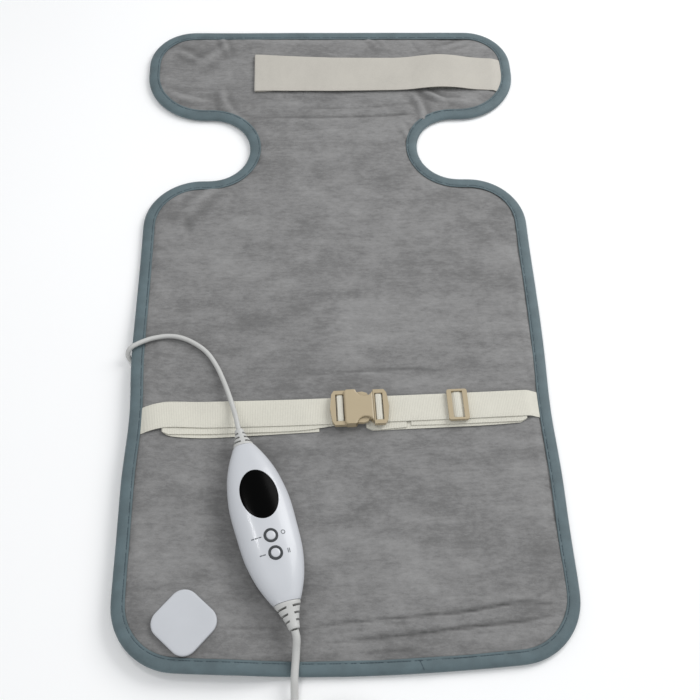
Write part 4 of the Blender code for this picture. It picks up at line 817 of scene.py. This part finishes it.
def waist_right():
    """The fixed strap, its folded tail, the slack that gathers up, and the loop round the plug's bar."""
    one, two, three = LAYERS
    end, slip, middle = 0.1630, -5.5 * MM, (one + two) / 2      # the tail's fold and its sideways slip
    top_end = SIDE - 0.1190
    path = [(top_end, 0, three), (0.11, 0, three), (end - 0.004, 0.0003, three)]
    path += [(end + 0.004, 0.0004, two + 1.0 * MM), (SIDE - 0.0190, 0.0002, one + 0.2 * MM)]
    path += [(SIDE - 0.0140, 0, 5.5 * MM), (SIDE - 0.0108, 0, 4.6 * MM)]
    strap = belt("waist_strap_right_webbing", path)
    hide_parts("waist_strap_right")
    near = BUCKLE_X + 0.0060
    path = [(0.0600, slip * 0.7, two), (0.10, slip * 0.8, two), (end - 0.006, slip * 0.75, two)]
    path += [(x, slip * 0.9, z) for x, z in arc((end, middle), two - middle, 90, -90, 6)]
    path += [(end - 0.03, slip * 1.15, one), (0.10, slip * 1.2, one), (near + 0.012, slip * 1.25, one)]
    path += [(x, slip * 1.35, z) for x, z in arc((near, middle), two - middle, 270, 90, 6)]
    path += [(near + 0.014, slip * 1.2, two), (0.0560, slip, two)]

    def shape(share, point):
        """The tail is rounded off at both its folds."""
        fold = rise((point.x - end + 0.006) / 0.010) + rise((near + 0.006 - point.x) / 0.010)
        return 1.0 - 0.20 * fold, 0.0020 * fold

    tail = belt("waist_strap_tail_webbing", path, shape=shape)
    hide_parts("waist_strap_right_tail")
    loop_end = BUCKLE_X + 0.0283
    slack = belt("waist_strap_slack_webbing", [(loop_end, 0, three), (top_end, 0, three)], step=0.8 * MM)
    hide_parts("waist_strap_slack")
    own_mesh(slack)
    path = [(loop_end, 0, three), (BUCKLE_X + OUTER_BAR + 1.4 * MM, 0, three)]
    path += over_bar(1, three - 0.3 * MM)
    loop = belt("buckle_loop_webbing", path, "buckle_plug", step=0.8 * MM)
    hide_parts("waist_strap_loop")


def slider_belt():
    """The belt's hump over the slider's bar, which travels with the slider."""
    low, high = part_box("slider_webbing")
    middle = (WAIST.inverted() @ ((low + high) / 2)).x
    half_path = [(8.4, 11.95), (4.6, 11.95), (3.0, 12.85), (1.6, 13.45)]         # in mm
    path = [(middle - x * MM, 0, z * MM) for x, z in half_path]
    path += [(middle + x * MM, 0, z * MM) for x, z in reversed(half_path)]
    hump = band("slider_hump_webbing", path, 0.025, 0.9 * MM, BELT, WAIST, "strap_slider", step=0.8 * MM)
    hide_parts("slider_webbing")


def neck_strap():
    """Elastic tape from the collar's right edge, over its hook tape, to the fold and back under."""
    half = 0.65 * MM
    low = PLUSH_TOP + 0.3 * MM + half
    high = low + 1.6 * MM
    fold = -0.0817
    tape_end = NECK_HINGE.x - 0.0365
    start = tape_end - 0.030
    bump = high + 2.6 * MM
    path = [(tape_end, 0, low + 1.5 * MM), (start - 0.004, 0, low + 1.5 * MM), (start - 0.016, 0, low)]
    path += [(0.03, 0, low)]
    path += [(x, 0, z) for x, z in arc((fold, (low + high) / 2), (high - low) / 2, 270, 90, 6)]
    path += [(-0.03, 0, high), (0.04, 0, high), (start - 0.024, 0, high), (start - 0.006, 0, bump - 0.5 * MM)]
    path += [(start + 0.012, 0, bump + 0.4 * MM), (tape_end + 0.002, 0, bump - 1.0 * MM)]
    path += [(tape_end + 0.016, 0, low + 0.8 * MM), (NECK_HINGE.x - 0.004, 0, low)]
    path += [(NECK_HINGE.x + 0.006, 0, low), (COLLAR_HALF - 0.0130, 0, 5.6 * MM)]
    path += [(COLLAR_HALF - 0.0095, 0, 4.6 * MM)]
    # along the strap: sideways sway in mm, and share of the full width
    sway = [(-0.085, 1.3), (-0.045, -0.2), (0.0, -1.6), (0.07, -1.6), (0.118, 0.9), (0.135, 0.6), (0.172, -0.8)]
    widths = [(-0.085, 1.05), (-0.06, 1.01), (0.0, 0.955), (0.07, 0.925), (0.118, 0.935), (0.172, 0.915)]

    def shape(share, point):
        """The under layer is narrowed to hide below the upper one."""
        if share < 0.46:
            return 1.04 - 0.17 * rise((point.x + 0.080) / 0.045), 1.0 * MM
        factor = float(np.interp(point.x, *zip(*widths)))
        return factor, float(np.interp(point.x, *zip(*sway))) * MM

    strap = band("neck_strap_elastic", path, 0.050, 1.3 * MM, ELASTIC, Matrix.Translation((0, NECK_Y, 0)), None,
                 shape=shape, columns=16)
    hidden = 9.5 * MM
    for vert in strap.data.vertices:
        past = vert.co.x - NECK_HINGE.x
        if past > 0:
            room = seam_x(vert.co.y, hidden) - NECK_HINGE.x
            vert.co.x = NECK_HINGE.x + past * room / (COLLAR_HALF - hidden - NECK_HINGE.x)
    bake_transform(strap)
    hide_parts("neck_strap", "neck_strap_tab")


# -------- handset

STATIONS = [                        # along the handset, half width, half height
    (-0.0700, 0.0115, 0.0080),
    (-0.0520, 0.0193, 0.0100),
    (-0.0310, 0.0242, 0.0114),
    (-0.0080, 0.0256, 0.0120),
    (0.0160, 0.0257, 0.0120),
    (0.0380, 0.0222, 0.0110),
    (0.0540, 0.0168, 0.0093),
    (0.0690, 0.0092, 0.0070),
]
FINE_STATIONS = np.array([tuple(p) for p in smooth_curve(STATIONS, 24)])
ROUNDNESS = 2.3
DISPLAY_Y, DISPLAY_HALF = 0.0205, (0.01575, 0.0220)
BUTTONS = {"power_button": -0.0165, "mode_button": -0.0313}
HALF_GAP = 0.15 * MM


def section(y):
    """The shell's half width and half height at a place along the handset."""
    return (np.interp(y, FINE_STATIONS[:, 0], FINE_STATIONS[:, 1]),
            np.interp(y, FINE_STATIONS[:, 0], FINE_STATIONS[:, 2]))


def shell_height(x, y):
    width, height = section(y)
    return height * (1 - min(abs(x) / width, 1) ** ROUNDNESS) ** (1 / ROUNDNESS) + HALF_GAP


def bulge(turn, power):
    """Cosine and sine of a turn, pushed out to a squarer section where the power is over 2."""
    return [copysign(abs(part) ** (2 / power), part) for part in (cos(turn), sin(turn))]


def half_ring(y, side, inset, steps):
    """Half a section of the shell, above (side = 1) or below (side = -1), set in by the wall or less."""
    width, height = (size - inset for size in section(y))
    bulges = [bulge(pi * i / steps, ROUNDNESS) for i in range(steps + 1)]
    return [Vector((across * width, y, side * (abs(up) * height + HALF_GAP))) for across, up in bulges]


def shell(name, side):
    low, high = STATIONS[0][0], STATIONS[-1][0]
    rows, steps, wall = 84, 44, 1.8 * MM
    rings = []
    for i in range(rows + 1):
        share = i / rows
        y = low + (high - low) * share
        edge = 0.5 * MM * (1 - rise(min(share, 1 - share) * rows / 1.5))
        ring = half_ring(y, side, edge, steps) + half_ring(y, side, wall, steps // 2)[::-1]
        rings.append([HANDSET @ point for point in ring])
    return piece(name, skin(rings), SHELL, sharp=40)


def oval(half_x, half_y, steps=72, centre=(0, DISPLAY_Y)):
    turns = [2 * pi * i / steps for i in range(steps)]
    return [(centre[0] + half_x * cos(a), centre[1] + half_y * sin(a)) for a in turns]


def turned(name, profile, centre_y, paint, body):
    """A ring or knob: a closed profile of (radius, height) in mm, turned about the handset's Z."""
    rings = [[HANDSET @ Vector((r * x, centre_y + r * y, z * MM)) for r, z in profile]
             for x, y in oval(MM, MM, 48, (0, 0))]
    bm = skin(rings, cyclic=True)
    bmesh.ops.remove_doubles(bm, verts=bm.verts, dist=0.01 * MM)
    bmesh.ops.dissolve_degenerate(bm, edges=bm.edges, dist=0.001 * MM)
    return piece(name, bm, paint, body, sharp=32)


def handset():
    top = shell("handset_top", 1)
    cut(top, prism(oval(*DISPLAY_HALF), 4 * MM, 20 * MM, HANDSET))
    for y in BUTTONS.values():
        cut(top, prism(oval(6 * MM, 6 * MM, 48, (0, y)), 4 * MM, 20 * MM, HANDSET))
    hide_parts("handset_top_shell")
    bevel(top, 0.18 * MM, 2, 50)
    bottom = shell("handset_bottom", -1)
    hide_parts("handset_bottom_shell")
    bevel(bottom, 0.18 * MM, 2, 50)
    window()
    for name, y in BUTTONS.items():
        button(name, y)
    symbols()
    strain_relief("strain_relief_lower", STATIONS[0], -1, 0.0210, 3.1 * MM, 4.6 * MM)
    strain_relief("strain_relief_upper", STATIONS[-1], 1, 0.0160, 2.4 * MM, 3.8 * MM)


def window():
    """The oval display pane, domed with the shell and a little proud of it."""
    depth, clearance = 1.3 * MM, 0.22 * MM
    half_x, half_y = (size - clearance for size in DISPLAY_HALF)
    rings = []
    for k, share in enumerate((1.0, 0.992, 0.97, 0.85, 0.65, 0.45, 0.25, 0.08)):
        drop = (0.28, 0.06, 0.0)[min(k, 2)]
        ring = oval(half_x * share, half_y * share)
        rings.append([Vector((x, y, shell_height(x, y) + (0.10 - drop) * MM)) for x, y in ring])
    under = [Vector((p.x, p.y, p.z - depth)) for p in rings[0]]
    flat_z = min(p.z for p in under) - 0.2 * MM
    inner = [Vector((p.x * 0.2, DISPLAY_Y + (p.y - DISPLAY_Y) * 0.2, flat_z)) for p in under]
    rings = [inner, under] + rings
    pane = piece("display_pane", skin([[HANDSET @ p for p in ring] for ring in rings]), GLASS, sharp=45)
    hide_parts("display_window")


def button(name, y):
    """A dark ring let into the shell, and the domed cap that travels in it; sizes in mm."""
    crown = shell_height(0, y) / MM
    rim, seat, bore, wide = crown + 0.42, crown - 1.7, 4.15, 5.85
    ring = [(bore, seat), (bore, rim - 0.35), (bore + 0.3, rim - 0.06), (bore + 0.7, rim), (wide - 0.7, rim),
            (wide - 0.25, rim - 0.08), (wide, rim - 0.4), (wide, seat)]
    made = turned(name + "_bezel", ring, y, RING, "root")
    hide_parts(name + "_ring")
    top, flange, stem, wall = crown + 0.95, seat - 0.3, seat - 1.1, 3.88
    cap = [(0, top), (1.6, top - 0.03), (2.7, top - 0.12), (3.4, top - 0.32), (3.78, top - 0.62),
           (wall, top - 1.0), (wall, flange), (5.1, flange), (5.1, stem), (1.5, stem), (1.5, stem - 1.6),
           (0, stem - 1.6)]
    made = turned(name + "_cap", cap, y, SHELL, name)
    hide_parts(name)


def symbols():
    """Plain generic marks beside the buttons: a ring, and short bars."""
    bm = bmesh.new()
    power, mode = BUTTONS["power_button"], BUTTONS["mode_button"]
    marks = [(0.0104, power + 0.0006, "ring"), (0.0104, mode - 0.0004, "bar"), (0.0117, mode - 0.0004, "bar")]
    marks += [(x, power + 0.0003, "dash") for x in (-0.0150, -0.0120, -0.0090)]
    marks += [(x, mode + 0.0003, "dash") for x in (-0.0118, -0.0092)]
    half_sizes = {"bar": (0.35 * MM, 1.9 * MM), "dash": (1.15 * MM, 0.45 * MM)}
    for x, y, kind in marks:
        if kind == "ring":
            inner, outer = (oval(radius, radius, 24, (x, y)) for radius in (1.25 * MM, 1.85 * MM))
            faces = [(inner[i - 1], inner[i], outer[i], outer[i - 1]) for i in range(24)]
        else:
            long, wide = half_sizes[kind]
            cuts = [x + long * (i / 3 - 1) for i in range(7)]       # so that a bar follows the shell's curve
            faces = [((a, y - wide), (b, y - wide), (b, y + wide), (a, y + wide))
                     for a, b in zip(cuts, cuts[1:])]
        for corners in faces:
            low, high = ([bm.verts.new(HANDSET @ Vector((u, v, shell_height(u, v) + up))) for u, v in corners]
                         for up in (0.02 * MM, 0.07 * MM))
            bm.faces.new(low)
            bm.faces.new(high)
            for i in range(4):
                bm.faces.new((low[i - 1], low[i], high[i], high[i - 1]))
    piece("handset_marks", bm, PRINT, smooth=False)


def strain_relief(name, station, way, length, cord, tip):
    """A tapered flexible boot with three slots on each side."""
    end, width, height = station
    start = end + way * 0.3 * MM
    clear, stub, steps = 0.1 * MM, 2.4 * MM, 26
    rows = [(-5 * MM, width - stub, height - stub), (-0.05 * MM, width - stub, height - stub)]
    for i in range(steps + 1):
        share = i / steps
        narrow = (1 - share) ** 1.5
        grow = 1 - 0.05 * (1 - rise(share * 14)) - 0.10 * rise((share - 0.96) / 0.04)
        wide, high = ((tip + (size - clear - tip) * narrow) * grow for size in (width, height))
        rows.append((length * share, wide, high))
    circle = oval(1, 1, 40, (0, 0))
    rings = [[HANDSET @ Vector((wide * x, start + way * along, high * z)) for x, z in circle]
             for along, wide, high in rows]
    made = piece(name + "_boot", skin(rings), BOOT, sharp=50)
    web, half, reach = cord - 0.6 * MM, 0.85 * MM, 0.02
    pitch = length / 3.9
    for row in range(3):
        y = start + way * pitch * (row + 0.78)
        for side in (-1, 1):
            lean = side * way * 1.8 * MM
            slot = [(web, y - half), (reach, y - half - lean), (reach, y + half - lean), (web, y + half)]
            cut(made, prism([(side * x, across) for x, across in slot], -reach, reach, HANDSET))
    bevel(made, 0.2 * MM, 2, 40)
    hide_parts(name)


# -------- connector cover and plug

def rounded_square(side, corner):
    steps = 14
    reach = side / 2 - corner
    points = []
    for i, (x, y) in enumerate(((reach, reach), (-reach, reach), (-reach, -reach), (reach, -reach))):
        points += arc((x, y), corner, 90 * i, 90 * i + 90, steps)
    return points


def connector_cover():
    low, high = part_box("connector_cover")
    place = Matrix.Translation(CONNECTOR) @ Matrix.Rotation(radians(47), 4, "Z")
    side, corner, tall = 43.8, 12.2, (high.z - low.z) / MM
    rows = [(0.6, 0.0), (0.15, 0.15), (0.0, 0.6)]           # inset and height in mm, from the base up
    rows += [(0.0, tall - 1.3), (0.10, tall - 0.8), (0.40, tall - 0.36), (0.9, tall - 0.1)]
    rows += [(inset, tall) for inset in (1.6, 5.0, 12.0, 18.0)]
    rings = []
    for inset, up in rows:
        outline = rounded_square((side - 2 * inset) * MM, max(corner - inset * 0.55, 1.2) * MM)
        rings.append([place @ Vector((x, y, low.z + up * MM)) for x, y in outline])
    cover = piece("connector_pad_cover", skin(rings), COVER, sharp=60)
    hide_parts("connector_cover")


def plug_housing():
    """The plug's moulded body, from its ribbed cord end to its flat face."""
    low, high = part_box("plug_body")
    middle = (low + high) / 2
    half, tall = (high.y - low.y) / 2 / MM, (high.z - low.z) / 2 / MM
    keys = [                        # in mm: along, half width, half height; then how square the section is
        (0.0, 3.7, 3.7, 2.0), (8.0, 4.2, 4.1, 2.1), (18.0, 5.0, 4.7, 2.3), (23.0, 7.4, 5.5, 2.6),
        (28.0, 11.4, 6.4, 3.0), (33.0, 13.0, 6.8, 3.2), (44.0, 13.15, 6.8, 3.4), (52.0, 12.5, 6.7, 3.4),
        (57.6, 12.1, 6.6, 3.4),
    ]
    ribs_start, ribs_end, rib_pitch, rib_depth, count = 3, 18, 3.0, 0.35, 44
    table = np.array([tuple(p) for p in smooth_curve([key[:3] for key in keys], 8)])
    powers = np.interp(table[:, 0], [key[0] for key in keys], [key[3] for key in keys])
    rings = []
    for (along, wide, high_half), power in zip(table, powers):
        groove = 0.0
        if ribs_start < along < ribs_end:
            groove = rib_depth * max(sin((along - ribs_start) * 2 * pi / rib_pitch), 0)
        ring = []
        for i in range(count):
            y, z = bulge(2 * pi * i / count, power)
            y, z = y * min(wide - groove, half) * MM, z * min(high_half - groove, tall) * MM
            ring.append(Vector((low.x + along * MM, middle.y + y, middle.z + z)))
        rings.append(ring)
    body = piece("plug_housing", skin(rings), BOOT, sharp=50)
    bevel(body, 0.5 * MM, 3, 60)
    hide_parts("plug_body")
    return body


# -------- cords

# the same points as in the CAD
PAD_CORD_ROUTE = [
    (-0.0906, -0.1416, 0.0203), (-0.0917, -0.1370, 0.0201), (-0.0938, -0.1275, 0.0182),
    (-0.0969, -0.1164, 0.0152), (-0.1013, -0.1025, 0.0140), (-0.1066, -0.0879, 0.0116),
    (-0.1128, -0.0738, 0.0100), (-0.1213, -0.0607, 0.0100), (-0.1321, -0.0513, 0.0100),
    (-0.1447, -0.0447, 0.0101), (-0.1570, -0.0429, 0.0110), (-0.1700, -0.0458, 0.0130),
    (-0.1790, -0.0500, 0.0148), (-0.1868, -0.0545, 0.0155), (-0.1901, -0.0566, 0.0146),
    (-0.1924, -0.0586, 0.0123), (-0.1933, -0.0607, 0.0090), (-0.1924, -0.0628, 0.0058),
    (-0.1901, -0.0648, 0.0034), (-0.1868, -0.0669, 0.0025), (-0.1838, -0.0700, 0.0024),
    (-0.1826, -0.0745, 0.0024), (-0.1822, -0.0830, 0.0024), (-0.1812, -0.0950, 0.0024),
    (-0.1795, -0.1090, 0.0024), (-0.1762, -0.1320, 0.0024), (-0.1732, -0.1650, 0.0024),
    (-0.1720, -0.2000, 0.0025), (-0.1716, -0.2300, 0.0027), (-0.1710, -0.2500, 0.0030),
    (-0.1680, -0.2660, 0.0032), (-0.1620, -0.2750, 0.0033), (-0.1600, -0.2764, 0.0032),
]
MAINS_ROUTE = [
    (-0.0433, -0.3132, 0.0203), (-0.0420, -0.3190, 0.0187), (-0.0424, -0.3270, 0.0143),
    (-0.0430, -0.3350, 0.0119), (-0.0437, -0.3430, 0.0111), (-0.0441, -0.3510, 0.0098),
    (-0.0441, -0.3590, 0.0064), (-0.0441, -0.3670, 0.0042), (-0.0441, -0.3760, 0.0036),
    (-0.0441, -0.3851, 0.0036),
]
MAINS_TAIL = [
    (0.0211, -0.4500, 0.0036), (0.0300, -0.4500, 0.0037), (0.0390, -0.4496, 0.0046),
    (0.0480, -0.4490, 0.0062), (0.0560, -0.4485, 0.0069),
]
COIL_CENTRE = Vector((-0.0101, -0.4160, 0))
COIL_RADIUS = 0.034
MAINS_DIAMETER, PAD_CORD_DIAMETER = 6.2 * MM, 4.3 * MM


def coil_turns():
    """The wound turns, each on its own track; a turn changes track in the quarter after the entry."""
    base, up = 3.6 * MM, 5.75 * MM
    tracks = [(0, 0), (-1, 0), (-1, 1), (0, 1), (-1, 2), (0, 2), (1, 2), (1, 1), (1, 0), (0, 0)]
    points, per_turn = [], 32
    for k in range(len(tracks) - 1):
        for i in range(per_turn):
            share = i / per_turn
            if k == len(tracks) - 2 and share > 0.25:
                break
            change = rise(share / 0.25)
            out = tracks[k][0] + (tracks[k + 1][0] - tracks[k][0]) * change
            high = tracks[k][1] + (tracks[k + 1][1] - tracks[k][1]) * change
            turn = pi + 2 * pi * share
            radius = COIL_RADIUS + out * MAINS_DIAMETER
            points.append(COIL_CENTRE + Vector((radius * cos(turn), radius * sin(turn), base + high * up)))
    return points


def cord_curve(name, points, diameter):
    curve = bpy.data.curves.new(name, "CURVE")
    curve.dimensions = "3D"
    curve.bevel_depth = diameter / 2
    curve.bevel_resolution = 5
    curve.use_fill_caps = True
    spline = curve.splines.new("POLY")
    spline.points.add(len(points) - 1)
    for point, place in zip(spline.points, points):
        point.co = (*place, 1)
    spline.use_smooth = True
    curve.materials.append(BOOT)
    made = add(name, curve)
    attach(made, "root")
    return made


def cords(plug):
    thin = smooth_curve(PAD_CORD_ROUTE, 5)
    pad_cord = cord_curve("pad_cord_flex", thin, PAD_CORD_DIAMETER)
    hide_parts("pad_cord")
    route = smooth_curve(MAINS_ROUTE, 5) + coil_turns() + smooth_curve(MAINS_TAIL, 4)
    mains = cord_curve("mains_cord_flex", route, MAINS_DIAMETER)
    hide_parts("mains_cord", "mains_coil", "mains_cord_tail")


# -------- the frame's own nodes

def frame_looks():
    """Materials and soft edges for the CAD's nodes that stay in view or inside."""
    moulded = ("buckle_socket", "buckle_plug", "buckle_arm_upper", "buckle_arm_lower", "strap_slider")
    looks = [
        (BUCKLE, *moulded, "film_capacitor"),
        (STEEL, "thermal_fuse", "line_fuse", "connector_screw_left", "connector_screw_right",
         "handset_screw_lower", "handset_screw_upper"),
        (DARK, "coil_tie", "display_module", "power_switch", "mode_switch", "triac"),
        (NICKEL, "plug_pin_left", "plug_pin_right"), (BOOT, "connector_gland", "terminal_block"),
        (SHELL, "connector_base"), (BOARD, "circuit_board"), (WIRE, "heating_wire"),
        # the hook tape's dark grey is painted shadow under the neck strap
        (WADDING, "wadding"), (CARRIER, "heating_carrier"), (HOOK_TAPE_PAINTED_SHADOW, "neck_strap_hook_tape"),
    ]
    for paint, *names in looks:
        for name in names:
            NODES[name].data.materials.clear()
            NODES[name].data.materials.append(paint)
    for name in moulded:
        bevel(NODES[name], 0.4 * MM, 3, 40)
    for name in ("plug_pin_left", "plug_pin_right", "coil_tie", "connector_base", "connector_gland"):
        bevel(NODES[name], 0.2 * MM, 2, 50)


camera()
studio()
face = cover_cloth("plush_face_cloth", 1, 2.0 * MM, PLUSH)
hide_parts("plush_cover")
back = cover_cloth("back_cloth", -1, 6.0 * MM, PLUSH)
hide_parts("back_cover")
binding()
stitches()
waist_left()
waist_right()
slider_belt()
neck_strap()
handset()
connector_cover()
cords(plug_housing())
frame_looks()
